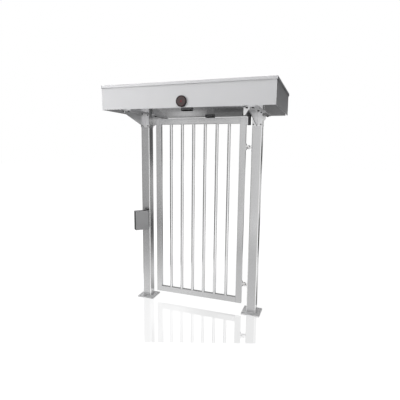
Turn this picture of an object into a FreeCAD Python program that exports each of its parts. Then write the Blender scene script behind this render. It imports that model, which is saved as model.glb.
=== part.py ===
import FreeCAD, Part
import Sketcher
import math
import os
import re

# Full-height motorised swing gate.  Two floor-fixed posts carry an overhead canopy that
# holds the drive.  The leaf hangs on the right post by two lug hinges and is turned from
# above by the drive shaft.
# Frame: +X along the canopy towards the hinged side, +Y to the rear, +Z up, millimetres.
# The origin lies on the floor, midway between the posts and on the plane of the closed leaf.

SIZES = {
    # posts and feet
    "post_spacing": 1270,
    "post_size": 100,
    "post_wall": 4,
    "post_corner": 8,
    "foot_size": 200,
    "foot_thick": 10,
    "anchor_spacing": 160,
    "anchor_hole": 18,
    "cable_hole": 50,
    # canopy
    "canopy_underside": 2160,
    "canopy_length": 1752,
    "canopy_depth": 1016,
    "canopy_rise": 240,
    "sheet_thick": 2,
    "lid_lip": 28,
    "lid_overhang": 8,
    "fascia_return": 24,
    "pan_lip": 25,
    "tube_high": 60,
    "cross_wide": 80,
    "beam_wide": 40,
    "frame_wall": 4,
    "beam_offset": 185,
    "cross_end_gap": 20,
    # brackets between posts and canopy
    "bracket_plate": 6,
    "bracket_flange_thick": 8,
    "bracket_web": 8,
    "bracket_drop": 150,
    "bracket_nose": 26,
    "bracket_reach": 436,
    "bracket_flange_wide": 130,
    "bracket_flange_corner": 60,
    "bracket_screw_side": 38,
    "bracket_screw_low": 17,
    "bracket_screw_high": 134,
    "bracket_bolt_side": 28,
    "bracket_bolt_near": 110,
    "bracket_bolt_far": 395,
    # open stops
    "stop_distance": 430,
    "stop_plate_thick": 6,
    "stop_plate_wide": 55,
    "stop_plate_tip": 14,
    "stop_plate_high": 68,
    "stop_shoulder": 8,
    "buffer_radius": 8,
    "buffer_up": 9,
    "buffer_gap": 0.4,
    # leaf
    "leaf_width": 1030,
    "leaf_rise": 2025,
    "leaf_bottom": 82,
    "leaf_tube_face": 65,
    "leaf_tube_depth": 32,
    "leaf_tube_wall": 3,
    "leaf_tube_corner": 3,
    "leaf_bar_count": 6,
    "leaf_bar_diameter": 33.7,
    "leaf_bar_wall": 2.6,
    "end_cap_thick": 3,
    # hinges
    "hinge_axis": 545,
    "hinge_low": 305,
    "hinge_high": 1800,
    "lug_thick": 15,
    "lug_width": 36,
    "lug_base_thick": 6,
    "lug_base_wide": 32,
    "lug_base_high": 70,
    "lug_screw_offset": 25,
    "hinge_pin_radius": 8,
    "hinge_pin_head": 12,
    "hinge_pin_head_thick": 5,
    "bush_radius": 11,
    "bush_flange_radius": 17,
    "bush_flange_thick": 2,
    "running_gap": 0.3,
    "running_fit": 0.05,
    # drive train on the hinge axis
    "spigot_radius": 17,
    "spigot_bottom": 2025,
    "spigot_top": 2112,
    "saddle_depth": 26,
    "hub_radius": 25,
    "hub_top": 2152,
    "shaft_radius": 15,
    "shaft_top": 2352,
    "shaft_opening": 30,
    "drive_plate_thick": 10,
    "drive_plate_left": 350,
    "drive_plate_right": 660,
    "drive_plate_half": 215,
    "housing_flange": 60,
    "housing_radius": 42,
    "housing_rise": 80,
    "bearing_radius": 31,
    "bearing_thick": 16,
    "gear_module": 3,
    "gear_teeth": 54,
    "pinion_teeth": 18,
    "gear_thick": 20,
    "gear_lift": 6,
    "mesh_gap": 0.25,
    "tooth_slack": 0.5,
    "gearbox_size": 84,
    "motor_radius": 36,
    "motor_length": 175,
    "lock_disc_radius": 45,
    "lock_disc_thick": 10,
    "lock_disc_bottom": 2190,
    "lock_notch": 13,
    "lock_pin_radius": 5,
    "lock_clear": 4,
    # indicator, sensors, reader
    "indicator_radius": 53,
    "indicator_stand": 16,
    "indicator_centre": 2217,
    "sensor_wide": 108,
    "sensor_depth": 56,
    "sensor_drop": 16,
    "sensor_front_face": 396,
    "reader_wide": 155,
    "reader_depth": 65,
    "reader_high": 217,
    "reader_centre": 961,
    "reader_turn": 50,
    "reader_x": -648,
    "reader_y": -138.5,
    "reader_wall": 3,
}

doc = FreeCAD.newDocument("passage_gate")
sheet = doc.addObject("Spreadsheet::Sheet", "Sizes")
for row, (alias, number) in enumerate(SIZES.items(), start=1):
    sheet.set(f"A{row}", alias)
    sheet.set(f"B{row}", str(number))
    sheet.setAlias(f"B{row}", alias)
doc.recompute()

NODES = []
X_AXIS = FreeCAD.Vector(1, 0, 0)
Y_AXIS = FreeCAD.Vector(0, 1, 0)
Z_AXIS = FreeCAD.Vector(0, 0, 1)


# ---------------------------------------------------------------- sheet and placement

def link(text):
    """Turn the sheet's names in an expression into references to its cells."""
    return re.sub(r"[a-z_]+", lambda word: f"Sizes.{word[0]}" if word[0] in SIZES else word[0], text)


def value(text):
    """Number that an expression on the sheet has now."""
    return float(sheet.evalExpression(link(text)))


def bind(item, **properties):
    """Tie properties of an object to expressions on the sheet."""
    for name, text in properties.items():
        item.setExpression(name, link(text))
    return item


def place(item, x="0", y="0", z="0", turn=0, axis=Z_AXIS):
    """Turn an object about an axis and tie its place to expressions on the sheet."""
    item.Placement = FreeCAD.Placement(FreeCAD.Vector(0, 0, 0), FreeCAD.Rotation(axis, turn))
    for name, text in (("x", x), ("y", y), ("z", z)):
        item.setExpression(f".Placement.Base.{name}", link(text))
    return item


def node(item, label):
    """Name an object as one of the gate's pieces."""
    item.Label = label
    NODES.append(item)
    return item


# ---------------------------------------------------------------- Part primitives

def block(name, length, width, height, x="0", y="0", z="0"):
    """Box with its low corner at x, y, z."""
    item = bind(doc.addObject("Part::Box", name), Length=length, Width=width, Height=height)
    return place(item, x, y, z)


def centred_block(name, length, width, height, x="0", y="0", z="0"):
    """Box centred on x and y that stands on z."""
    return block(name, length, width, height, f"{x} - ({length}) / 2", f"{y} - ({width}) / 2", z)


def rod(name, radius, length, x="0", y="0", z="0", turn=0, axis=Z_AXIS):
    """Cylinder from x, y, z upwards, or along the direction that the turn gives it."""
    item = bind(doc.addObject("Part::Cylinder", name), Radius=radius, Height=length)
    return place(item, x, y, z, turn, axis)


def cut(name, base, tool):
    item = doc.addObject("Part::Cut", name)
    item.Base = base
    item.Tool = tool
    return item


def fuse(name, *items):
    item = doc.addObject("Part::MultiFuse", name)
    item.Shapes = list(items)
    item.Refine = True
    return item


def feature(name, shape):
    """Object whose shape is worked out in code from the sheet's sizes."""
    item = doc.addObject("Part::Feature", name)
    item.Shape = shape
    return item


def drills(name, radius, length, points, direction):
    """Pattern of cylinders that start at the points and run along one direction."""
    holes = [Part.makeCylinder(radius, length, point, direction) for point in points]
    return feature(name, Part.makeCompound(holes))


def round_edges(name, base, radius, wanted):
    """Fillet of the edges of a base object that the test picks."""
    doc.recompute()
    item = doc.addObject("Part::Fillet", name)
    item.Base = base
    size = value(radius)
    picked = [i for i, edge in enumerate(base.Shape.Edges, start=1) if wanted(edge)]
    item.Edges = [(i, size, size) for i in picked]
    return item


def is_along(edge, direction):
    """True for a straight edge parallel to a direction."""
    if not isinstance(edge.Curve, Part.Line):
        return False
    return abs(edge.tangentAt(edge.FirstParameter).dot(direction)) > 0.999


# ---------------------------------------------------------------- PartDesign helpers


def is_upright(edge):
    return is_along(edge, Z_AXIS)


def new_body(name):
    return doc.addObject("PartDesign::Body", name)


def new_sketch(body, name, plane="XY_Plane", offset=None):
    """Sketch on one of the body's own origin planes, raised along its normal if wanted."""
    sketch = body.newObject("Sketcher::SketchObject", name)
    support = next(item for item in body.Origin.OriginFeatures if item.Role == plane)
    sketch.AttachmentSupport = [(support, "")]
    sketch.MapMode = "FlatFace"
    if offset:
        sketch.setExpression(".AttachmentOffset.Base.z", link(offset))
    return sketch


def constrain(sketch, kind, places, text):
    """Add a dimension to a sketch and tie it to an expression on the sheet."""
    index = sketch.addConstraint(Sketcher.Constraint(kind, *places, value(text)))
    sketch.setExpression(f"Constraints[{index}]", link(text))


def draw_rectangle(sketch, width, depth):
    """Rectangle centred on the sketch's origin."""
    half_width = value(width) / 2
    half_depth = value(depth) / 2
    corners = [
        FreeCAD.Vector(-half_width, -half_depth, 0),
        FreeCAD.Vector(half_width, -half_depth, 0),
        FreeCAD.Vector(half_width, half_depth, 0),
        FreeCAD.Vector(-half_width, half_depth, 0),
    ]
    first = sketch.GeometryCount
    for i in range(4):
        sketch.addGeometry(Part.LineSegment(corners[i], corners[(i + 1) % 4]), False)
    for i in range(4):
        ends = (first + i, 2, first + (i + 1) % 4, 1)
        sketch.addConstraint(Sketcher.Constraint("Coincident", *ends))
    for i in range(4):
        level = "Horizontal" if i % 2 == 0 else "Vertical"
        sketch.addConstraint(Sketcher.Constraint(level, first + i))
    sketch.addConstraint(Sketcher.Constraint("Symmetric", first, 1, first + 1, 2, -1, 1))
    constrain(sketch, "DistanceX", (first, 1, first, 2), width)
    constrain(sketch, "DistanceY", (first + 1, 1, first + 1, 2), depth)


def draw_circle(sketch, radius, x="0", y="0"):
    """Circle whose centre is given by expressions from the sketch's origin."""
    centre = FreeCAD.Vector(value(x), value(y), 0)
    index = sketch.addGeometry(Part.Circle(centre, Z_AXIS, value(radius)), False)
    constrain(sketch, "Radius", (index,), radius)
    if x == "0" and y == "0":
        sketch.addConstraint(Sketcher.Constraint("Coincident", index, 3, -1, 1))
        return
    if x == "0":
        sketch.addConstraint(Sketcher.Constraint("PointOnObject", index, 3, -2))
    else:
        constrain(sketch, "DistanceX", (-1, 1, index, 3), x)
    if y == "0":
        sketch.addConstraint(Sketcher.Constraint("PointOnObject", index, 3, -1))
    else:
        constrain(sketch, "DistanceY", (-1, 1, index, 3), y)


def draw_profile(sketch, points):
    """Closed outline through corner points, each a pair of expressions."""
    corners = [FreeCAD.Vector(value(x), value(y), 0) for x, y in points]
    count = len(corners)
    for i in range(count):
        sketch.addGeometry(Part.LineSegment(corners[i], corners[(i + 1) % count]), False)
    for i in range(count):
        sketch.addConstraint(Sketcher.Constraint("Coincident", i, 2, (i + 1) % count, 1))
    for i, (x, y) in enumerate(points):
        constrain(sketch, "DistanceX", (-1, 1, i, 1), x)
        constrain(sketch, "DistanceY", (-1, 1, i, 1), y)


def pad(body, sketch, length, symmetric=False):
    item = body.newObject("PartDesign::Pad", sketch.Name + "_pad")
    item.Profile = sketch
    if symmetric:
        item.SideType = "Symmetric"
    return bind(item, Length=length)


def revolve(body, sketch):
    """Full turn of a profile about the body's own Z axis."""
    item = body.newObject("PartDesign::Revolution", sketch.Name + "_turned")
    item.Profile = sketch
    axis = next(part for part in body.Origin.OriginFeatures if part.Role == "Z_Axis")
    item.ReferenceAxis = (axis, [""])
    item.Angle = 360
    return item


def turned(name, points):
    """Turned piece from its half profile in the XZ plane."""
    body = new_body(name)
    sketch = new_sketch(body, name + "_profile", "XZ_Plane")
    draw_profile(sketch, points)
    revolve(body, sketch)
    return body


def square_tube(name, width, depth, wall, corner, length):
    """Rectangular tube that stands on the XY plane, with rounded outer corners."""
    body = new_body(name)
    sketch = new_sketch(body, name + "_section")
    draw_rectangle(sketch, width, depth)
    draw_rectangle(sketch, f"{width} - 2 * {wall}", f"{depth} - 2 * {wall}")
    tube = pad(body, sketch, length)
    doc.recompute()
    half_width = value(width) / 2
    corners = []
    for i, edge in enumerate(tube.Shape.Edges, start=1):
        middle = edge.CenterOfMass
        if is_along(edge, Z_AXIS) and abs(abs(middle.x) - half_width) < 0.01:
            corners.append(f"Edge{i}")
    fillet = body.newObject("PartDesign::Fillet", name + "_corners")
    fillet.Base = (tube, corners)
    bind(fillet, Radius=corner)
    body.Tip = fillet
    return body


# ---------------------------------------------------------------- fasteners

def button_screw(radius, length):
    """Button head screw along -Z from a seat at the origin, with a hexagon socket."""
    head_radius = 1.75 * radius
    head_height = 1.1 * radius
    profile = [
        Part.LineSegment(FreeCAD.Vector(0, 0, -length), FreeCAD.Vector(radius, 0, -length)),
        Part.LineSegment(FreeCAD.Vector(radius, 0, -length), FreeCAD.Vector(radius, 0, 0)),
        Part.LineSegment(FreeCAD.Vector(radius, 0, 0), FreeCAD.Vector(head_radius, 0, 0)),
        Part.Arc(
            FreeCAD.Vector(head_radius, 0, 0),
            FreeCAD.Vector(0.82 * head_radius, 0, 0.62 * head_height),
            FreeCAD.Vector(0.45 * head_radius, 0, head_height),
        ),
        Part.LineSegment(
            FreeCAD.Vector(0.45 * head_radius, 0, head_height), FreeCAD.Vector(0, 0, head_height)
        ),
        Part.LineSegment(FreeCAD.Vector(0, 0, head_height), FreeCAD.Vector(0, 0, -length)),
    ]
    outline = Part.Wire([curve.toShape() for curve in profile])
    screw = Part.Face(outline).revolve(FreeCAD.Vector(0, 0, 0), Z_AXIS, 360)
    socket = hexagon(0.62 * radius, head_height, 0.7 * head_height)
    return screw.cut(socket)


def hexagon(radius, top, height):
    """Six-sided prism that ends at a top level."""
    corners = [
        FreeCAD.Vector(
            radius * math.cos(math.radians(60 * i)), radius * math.sin(math.radians(60 * i)), top
        )
        for i in range(7)
    ]
    return Part.Face(Part.makePolygon(corners)).extrude(FreeCAD.Vector(0, 0, -height))


def hexagon_bolt(radius, length):
    """Hexagon head bolt with a washer, along -Z from its seat at the origin."""
    washer_radius = 2.0 * radius
    washer_height = 2.0
    head_height = 1.3 * radius
    washer = Part.makeCylinder(washer_radius, washer_height)
    head = hexagon(1.8 * radius, washer_height + head_height, head_height)
    shank = Part.makeCylinder(radius, length, FreeCAD.Vector(0, 0, -length))
    return washer.fuse([head, shank]).removeSplitter()


def fastener_group(name, pattern, seats):
    """Copies of one fastener, each with its head's seat at a point and facing a direction."""
    copies = []
    for point, direction in seats:
        turn = FreeCAD.Rotation(Z_AXIS, direction)
        copies.append(pattern.transformed(FreeCAD.Placement(point, turn).toMatrix(), True))
    return node(feature(name, Part.makeCompound(copies)), name)


# ---------------------------------------------------------------- driving numbers used in code

post_x = value("post_spacing / 2")
post_face = value("post_size / 2")
underside = value("canopy_underside")
flange_low = value("canopy_underside - bracket_flange_thick")
axis_x = value("hinge_axis")
plate_top = value("canopy_underside + sheet_thick + tube_high + drive_plate_thick")
screw_radius = 4
screw_length = 13
bolt_radius = 5
bolt_length = 20
hole_slack = 0.5
drill_lead = 2


def at(x, y, z):
    return FreeCAD.Vector(x, y, z)


# ---------------------------------------------------------------- fastener places

def bracket_screw_seats():
    """Four screws hold each bracket's back flange to its post."""
    seats = []
    low = value("canopy_underside - bracket_drop + bracket_screw_low")
    high = value("canopy_underside - bracket_drop + bracket_screw_high")
    side = value("bracket_screw_side")
    for post in (-post_x, post_x):
        for facing in (-1, 1):
            seat = facing * value("post_size / 2 + bracket_plate")
            for x in (post - side, post + side):
                for z in (low, high):
                    seats.append((at(x, seat, z), at(0, facing, 0)))
    return seats


def lug_screw_heights(centre):
    return (centre - value("lug_screw_offset"), centre + value("lug_screw_offset"))


def post_lug_centres():
    """Middle heights of the two base plates that carry the post's lugs."""
    return [value(f"{hinge} - lug_thick / 2 - bush_flange_thick") for hinge in ("hinge_low", "hinge_high")]


def leaf_lug_centres():
    """Middle heights of the two base plates that carry the leaf's lugs."""
    return [value(f"{hinge} + bush_flange_thick") for hinge in ("hinge_low", "hinge_high")]


def post_lug_screw_seats():
    seat = value("post_spacing / 2 - post_size / 2 - lug_base_thick")
    return [
        (at(seat, 0, z), at(-1, 0, 0)) for centre in post_lug_centres() for z in lug_screw_heights(centre)
    ]


def leaf_lug_screw_seats():
    seat = value("leaf_width / 2 + lug_base_thick")
    return [
        (at(seat, 0, z), at(1, 0, 0)) for centre in leaf_lug_centres() for z in lug_screw_heights(centre)
    ]


def reader_screw_seats():
    """Two screws hold the reader's bracket to the left post."""
    seat = -post_face - bracket_fold
    return [
        (at(-post_x - reader_screw_side, seat, value("reader_centre") + up), at(0, -1, 0))
        for up in (-reader_screw_up, reader_screw_up)
    ]


def bracket_bolt_points(level):
    """Four bolts tie each bracket's top flange to a cross member."""
    points = []
    side = value("bracket_bolt_side")
    for post in (-post_x, post_x):
        for facing in (-1, 1):
            for reach in ("bracket_bolt_near", "bracket_bolt_far"):
                for x in (post - side, post + side):
                    points.append(at(x, facing * (post_face + value(reach)), level))
    return points


def plate_bolt_points(level):
    """Four bolts hold the drive plate on its two beams."""
    left = value("drive_plate_left") + plate_bolt_inset
    right = value("hinge_axis") + plate_bolt_inset
    beam = value("beam_offset")
    return [at(x, y, level) for x in (left, right) for y in (-beam, beam)]


def housing_screw_points(level):
    reach = value("(housing_flange + housing_radius) / 2")
    return [
        at(
            axis_x + reach * math.cos(math.radians(45 + 90 * i)),
            reach * math.sin(math.radians(45 + 90 * i)),
            level,
        )
        for i in range(4)
    ]


def gearbox_screw_points(level):
    half = value("gearbox_size / 2")
    return [
        at(pinion_x + x * (half - foot_screw_inset), y * (half + foot_screw_inset), level)
        for x in (-1, 1)
        for y in (-1, 1)
    ]


bracket_fold = 4
reader_screw_side = 25
reader_screw_up = 30
plate_bolt_inset = 30
foot_screw_inset = 9
centre_distance = value("gear_module * (gear_teeth + pinion_teeth) / 2 + mesh_gap")
pinion_x = axis_x - centre_distance


# ---------------------------------------------------------------- posts and feet

def make_post(label, x, extra_seats):
    """Square stainless tube that stands on its foot and reaches the canopy."""
    tube = square_tube(
        label + "_tube",
        "post_size",
        "post_size",
        "post_wall",
        "post_corner",
        "canopy_underside - foot_thick",
    )
    place(tube, x, "0", "foot_thick")
    seats = [seat for seat in bracket_screw_seats() if seat[0].x * value(x) > 0] + extra_seats
    holes = []
    for point, direction in seats:
        start = point
        holes.append(Part.makeCylinder(screw_radius, screw_length, start, direction.negative()))
    pattern = feature(label + "_screw_holes", Part.makeCompound(holes))
    node(cut(label, tube, pattern), label)


make_post("left_post", "-post_spacing / 2", reader_screw_seats())
make_post("right_post", "post_spacing / 2", post_lug_screw_seats())


def make_foot(label, x):
    """Square foot plate with four anchor holes and a conduit hole inside the post."""
    body = new_body(label)
    sketch = new_sketch(body, label + "_outline")
    draw_rectangle(sketch, "foot_size", "foot_size")
    draw_circle(sketch, "cable_hole / 2")
    for side_x in ("-anchor_spacing / 2", "anchor_spacing / 2"):
        for side_y in ("-anchor_spacing / 2", "anchor_spacing / 2"):
            draw_circle(sketch, "anchor_hole / 2", side_x, side_y)
    pad(body, sketch, "foot_thick")
    node(place(body, x), label)


make_foot("left_base_plate", "-post_spacing / 2")
make_foot("right_base_plate", "post_spacing / 2")


# ---------------------------------------------------------------- T-brackets

def make_bracket(label, x, facing):
    """Welded bracket: back flange on the post, top flange under the canopy, tapered web."""
    back = centred_block(
        label + "_back", "post_size", "bracket_plate", "bracket_drop - bracket_flange_thick",
        "0", "-bracket_plate / 2", "-bracket_drop",
    )
    top = centred_block(
        label + "_top", "bracket_flange_wide", "bracket_reach", "bracket_flange_thick",
        "0", "-bracket_reach / 2", "-bracket_flange_thick",
    )
    reach = value("bracket_reach")
    top = round_edges(
        label + "_top_rounded", top, "bracket_flange_corner",
        lambda edge: is_upright(edge) and abs(edge.CenterOfMass.y + reach) < 0.1,
    )
    web = new_body(label + "_web")
    sketch = new_sketch(web, label + "_web_outline", "YZ_Plane")
    draw_profile(sketch, [
        ("-bracket_plate", "-bracket_flange_thick"),
        ("-bracket_plate", "-bracket_drop"),
        ("-bracket_reach + bracket_plate", "-bracket_plate - bracket_nose"),
        ("-bracket_reach + bracket_plate", "-bracket_flange_thick"),
    ])
    pad(web, sketch, "bracket_web", symmetric=True)
    doc.recompute()
    whole = fuse(label + "_weldment", back, top, web)
    turn = 0 if facing < 0 else 180
    y = "-post_size / 2" if facing < 0 else "post_size / 2"
    place(whole, x, y, "canopy_underside", turn)
    doc.recompute()
    holes = [
        Part.makeCylinder(screw_radius + hole_slack, screw_length, point, direction.negative())
        for point, direction in bracket_screw_seats()
    ]
    holes += [
        Part.makeCylinder(bolt_radius + hole_slack, bolt_length, point)
        for point in bracket_bolt_points(flange_low)
    ]
    pattern = feature(label + "_holes", Part.makeCompound(holes))
    node(cut(label, whole, pattern), label)


make_bracket("front_left_bracket", "-post_spacing / 2", -1)
make_bracket("front_right_bracket", "post_spacing / 2", -1)
make_bracket("rear_left_bracket", "-post_spacing / 2", 1)
make_bracket("rear_right_bracket", "post_spacing / 2", 1)


# ---------------------------------------------------------------- open stops

def make_stops():
    """A hanging plate and a rubber buffer under each right-hand bracket stop the leaf at 90."""
    plates = []
    buffers = []
    right = value("post_spacing / 2 - bracket_web / 2")
    left = right - value("stop_plate_wide")
    low = flange_low - value("stop_plate_high")
    outline = [
        at(left, 0, flange_low),
        at(right, 0, flange_low),
        at(right, 0, flange_low - value("stop_shoulder")),
        at(left + value("stop_plate_tip"), 0, low),
        at(left, 0, low),
        at(left, 0, flange_low),
    ]
    thick = value("stop_plate_thick")
    face = value("hinge_axis + leaf_tube_depth / 2 + buffer_gap")
    for facing in (-1, 1):
        middle = facing * value("stop_distance")
        plate = Part.Face(Part.makePolygon(outline)).extrude(at(0, thick, 0))
        plate.translate(at(0, middle - thick / 2, 0))
        plates.append(plate)
        start = at(face, middle, low + value("buffer_up"))
        buffers.append(Part.makeCylinder(value("buffer_radius"), left - face, start, X_AXIS))
    node(feature("stop_plates", Part.makeCompound(plates)), "stop_plates")
    node(feature("stop_buffers", Part.makeCompound(buffers)), "stop_buffers")


make_stops()


# ---------------------------------------------------------------- canopy sheets

def canopy_screw_seats():
    """Screws down through the lid: five along the front and the rear, one at each end."""
    level = value("canopy_underside + canopy_rise")
    long_side = value("canopy_depth / 2 - sheet_thick - fascia_return / 2")
    short_side = value("canopy_length / 2 - sheet_thick - fascia_return / 2")
    pitch = value("canopy_length / 5")
    up = at(0, 0, 1)
    seats = [
        (at(i * pitch, side * long_side, level), up)
        for side in (-1, 1)
        for i in (-2, -1, 0, 1, 2)
    ]
    return seats + [(at(side * short_side, 0, level), up) for side in (-1, 1)]


lid_screw_radius = 2.5
lid_screw_length = 8


def lid_screw_holes(name, radius):
    holes = [
        Part.makeCylinder(radius, lid_screw_length, point, direction.negative())
        for point, direction in canopy_screw_seats()
    ]
    return feature(name, Part.makeCompound(holes))


def make_lid():
    """Folded tray, upside down: its lip hangs a little outside the fascias."""
    outer = centred_block(
        "lid_outer", "canopy_length + 2 * lid_overhang", "canopy_depth + 2 * lid_overhang",
        "lid_lip", z="canopy_underside + canopy_rise - lid_lip",
    )
    inner = centred_block(
        "lid_inner", "canopy_length + 2 * lid_overhang - 2 * sheet_thick",
        "canopy_depth + 2 * lid_overhang - 2 * sheet_thick",
        "lid_lip - sheet_thick", z="canopy_underside + canopy_rise - lid_lip",
    )
    tray = cut("lid_tray", outer, inner)
    holes = lid_screw_holes("lid_screw_holes", lid_screw_radius + 0.25)
    node(cut("canopy_lid", tray, holes), "canopy_lid")


def make_fascias():
    """Front and rear fascias and two end sheets, each folded in at the top to carry the lid."""
    rise = "canopy_rise - sheet_thick"
    top = "canopy_underside + canopy_rise - 2 * sheet_thick"
    for label, side in (("canopy_front_fascia", "-"), ("canopy_rear_fascia", "")):
        upright = centred_block(
            label + "_sheet", "canopy_length", "sheet_thick", rise,
            y=f"{side}(canopy_depth / 2 - sheet_thick / 2)", z="canopy_underside",
        )
        shelf = centred_block(
            label + "_return", "canopy_length - 2 * sheet_thick", "fascia_return", "sheet_thick",
            y=f"{side}(canopy_depth / 2 - sheet_thick - fascia_return / 2)", z=top,
        )
        folded = fuse(label + "_folded", upright, shelf)
        holes = lid_screw_holes(label + "_taps", lid_screw_radius)
        if side:
            opening = rod(
                "indicator_opening", "indicator_radius / 2 + 0.5", "20",
                "0", "-canopy_depth / 2 - 7", "indicator_centre", -90, X_AXIS,
            )
            folded = cut("fascia_with_opening", folded, opening)
        node(cut(label, folded, holes), label)
    for label, side in (("canopy_left_end", "-"), ("canopy_right_end", "")):
        upright = centred_block(
            label + "_sheet", "sheet_thick", "canopy_depth - 2 * sheet_thick", rise,
            x=f"{side}(canopy_length / 2 - sheet_thick / 2)", z="canopy_underside",
        )
        shelf = centred_block(
            label + "_return", "fascia_return",
            "canopy_depth - 2 * sheet_thick - 2 * fascia_return", "sheet_thick",
            x=f"{side}(canopy_length / 2 - sheet_thick - fascia_return / 2)", z=top,
        )
        folded = fuse(label + "_folded", upright, shelf)
        node(cut(label, folded, lid_screw_holes(label + "_taps", lid_screw_radius)), label)


def make_pan():
    """Bottom tray with a lip all round, open over the posts and round the drive shaft."""
    length = "canopy_length - 2 * sheet_thick"
    depth = "canopy_depth - 2 * sheet_thick"
    outer = centred_block("pan_outer", length, depth, "pan_lip", z="canopy_underside")
    inner = centred_block(
        "pan_inner", f"{length} - 2 * sheet_thick", f"{depth} - 2 * sheet_thick", "pan_lip",
        z="canopy_underside + sheet_thick",
    )
    tray = cut("pan_tray", outer, inner)
    start = underside - drill_lead
    holes = [
        Part.makeCylinder(bolt_radius + hole_slack, bolt_length, point)
        for point in bracket_bolt_points(start)
    ]
    holes.append(Part.makeCylinder(value("shaft_opening"), bolt_length, at(axis_x, 0, start)))
    holes += [
        Part.makeCylinder(value("cable_hole / 2"), bolt_length, at(x, 0, start))
        for x in (-post_x, post_x)
    ]
    node(cut("canopy_pan", tray, feature("pan_holes", Part.makeCompound(holes))), "canopy_pan")


make_lid()
make_fascias()
make_pan()
fastener_group("canopy_screws", button_screw(lid_screw_radius, lid_screw_length), canopy_screw_seats())


# ---------------------------------------------------------------- canopy frame

def hollow_beam(name, along_x, length, wide, x, y):
    """Rectangular tube that lies on the pan, along X or along Y."""
    size = (length, wide) if along_x else (wide, length)
    bore = (length, f"{wide} - 2 * frame_wall") if along_x else (f"{wide} - 2 * frame_wall", length)
    level = "canopy_underside + sheet_thick"
    outer = centred_block(name + "_outer", size[0], size[1], "tube_high", x, y, level)
    inner = centred_block(
        name + "_bore", bore[0], bore[1], "tube_high - 2 * frame_wall", x, y, level + " + frame_wall"
    )
    return cut(name + "_tube", outer, inner)


def make_frame():
    """Two cross members over the posts, and two beams between them that carry the drive."""
    members = [
        hollow_beam(
            f"member_{i}", False, "canopy_depth - 2 * cross_end_gap", "cross_wide",
            f"{side}post_spacing / 2", "0",
        )
        for i, side in enumerate(("-", ""))
    ]
    beams = [
        hollow_beam(
            f"beam_{i}", True, "post_spacing - cross_wide", "beam_wide", "0", f"{side}beam_offset"
        )
        for i, side in enumerate(("-", ""))
    ]
    start = underside + value("sheet_thick")
    taps = [
        Part.makeCylinder(bolt_radius, bolt_length, point) for point in bracket_bolt_points(flange_low)
    ]
    taps += [
        Part.makeCylinder(bolt_radius, bolt_length, point, at(0, 0, -1))
        for point in plate_bolt_points(plate_top)
    ]
    taps += [
        Part.makeCylinder(value("cable_hole / 2"), value("frame_wall") + drill_lead, at(x, 0, start))
        for x in (-post_x, post_x)
    ]
    for label, tubes in (("cross_members", members), ("drive_beams", beams)):
        pair = doc.addObject("Part::Compound", label + "_pair")
        pair.Links = tubes
        pattern = feature(label + "_taps", Part.makeCompound([tap.copy() for tap in taps]))
        node(cut(label, pair, pattern), label)


make_frame()


def make_drive_plate():
    """Thick plate across the beams, bored for the shaft and tapped for the drive's feet."""
    level = "canopy_underside + sheet_thick + tube_high"
    blank = block(
        "drive_plate_blank", "drive_plate_right - drive_plate_left", "2 * drive_plate_half",
        "drive_plate_thick", "drive_plate_left", "-drive_plate_half", level,
    )
    down = at(0, 0, -1)
    holes = [
        Part.makeCylinder(bolt_radius + hole_slack, bolt_length, point, down)
        for point in plate_bolt_points(plate_top)
    ]
    screw_seat = plate_top + value("drive_plate_thick")
    screws = housing_screw_points(screw_seat) + gearbox_screw_points(screw_seat)
    holes += [Part.makeCylinder(screw_radius, drive_screw_length, point, down) for point in screws]
    holes.append(Part.makeCylinder(value("bearing_radius + 1"), bolt_length, at(axis_x, 0, plate_top), down))
    node(cut("drive_plate", blank, feature("drive_plate_holes", Part.makeCompound(holes))), "drive_plate")


drive_screw_length = 18
make_drive_plate()

fastener_group(
    "frame_bolts",
    hexagon_bolt(bolt_radius, bolt_length),
    [(point, at(0, 0, -1)) for point in bracket_bolt_points(flange_low)]
    + [(point, at(0, 0, 1)) for point in plate_bolt_points(plate_top)],
)
fastener_group(
    "post_screws",
    button_screw(screw_radius, screw_length),
    bracket_screw_seats() + post_lug_screw_seats() + reader_screw_seats(),
)


# ---------------------------------------------------------------- bearing housing and shaft

def make_bearing_housing():
    """Turned housing with a seat for a ball bearing at each end."""
    shoulder = "bearing_radius - 4"
    seat = "bearing_thick + 2"
    housing = turned("housing_turning", [
        (shoulder, seat),
        ("bearing_radius", seat),
        ("bearing_radius", "0"),
        ("housing_flange", "0"),
        ("housing_flange", "drive_plate_thick"),
        ("housing_radius", "drive_plate_thick"),
        ("housing_radius", "housing_rise"),
        ("bearing_radius", "housing_rise"),
        ("bearing_radius", f"housing_rise - ({seat})"),
        (shoulder, f"housing_rise - ({seat})"),
    ])
    level = "canopy_underside + sheet_thick + tube_high + drive_plate_thick"
    place(housing, "hinge_axis", "0", level)
    seat_level = plate_top + value("drive_plate_thick")
    holes = drills(
        "housing_holes", screw_radius + hole_slack, drive_screw_length,
        housing_screw_points(seat_level), at(0, 0, -1),
    )
    node(cut("bearing_housing", housing, holes), "bearing_housing")
    rings = []
    for i, lift in enumerate(("2", "housing_rise - 2 - bearing_thick")):
        ring = turned(f"bearing_{i}", [
            ("shaft_radius + running_fit", "0"),
            ("bearing_radius", "0"),
            ("bearing_radius", "bearing_thick"),
            ("shaft_radius + running_fit", "bearing_thick"),
        ])
        rings.append(place(ring, "hinge_axis", "0", f"{level} + {lift}"))
    pair = doc.addObject("Part::Compound", "shaft_bearings")
    pair.Links = rings
    node(pair, "shaft_bearings")


make_bearing_housing()
node(
    rod(
        "output_shaft", "shaft_radius", "shaft_top - spigot_top - 20",
        "hinge_axis", "0", "spigot_top + 20",
    ),
    "output_shaft",
)


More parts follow.
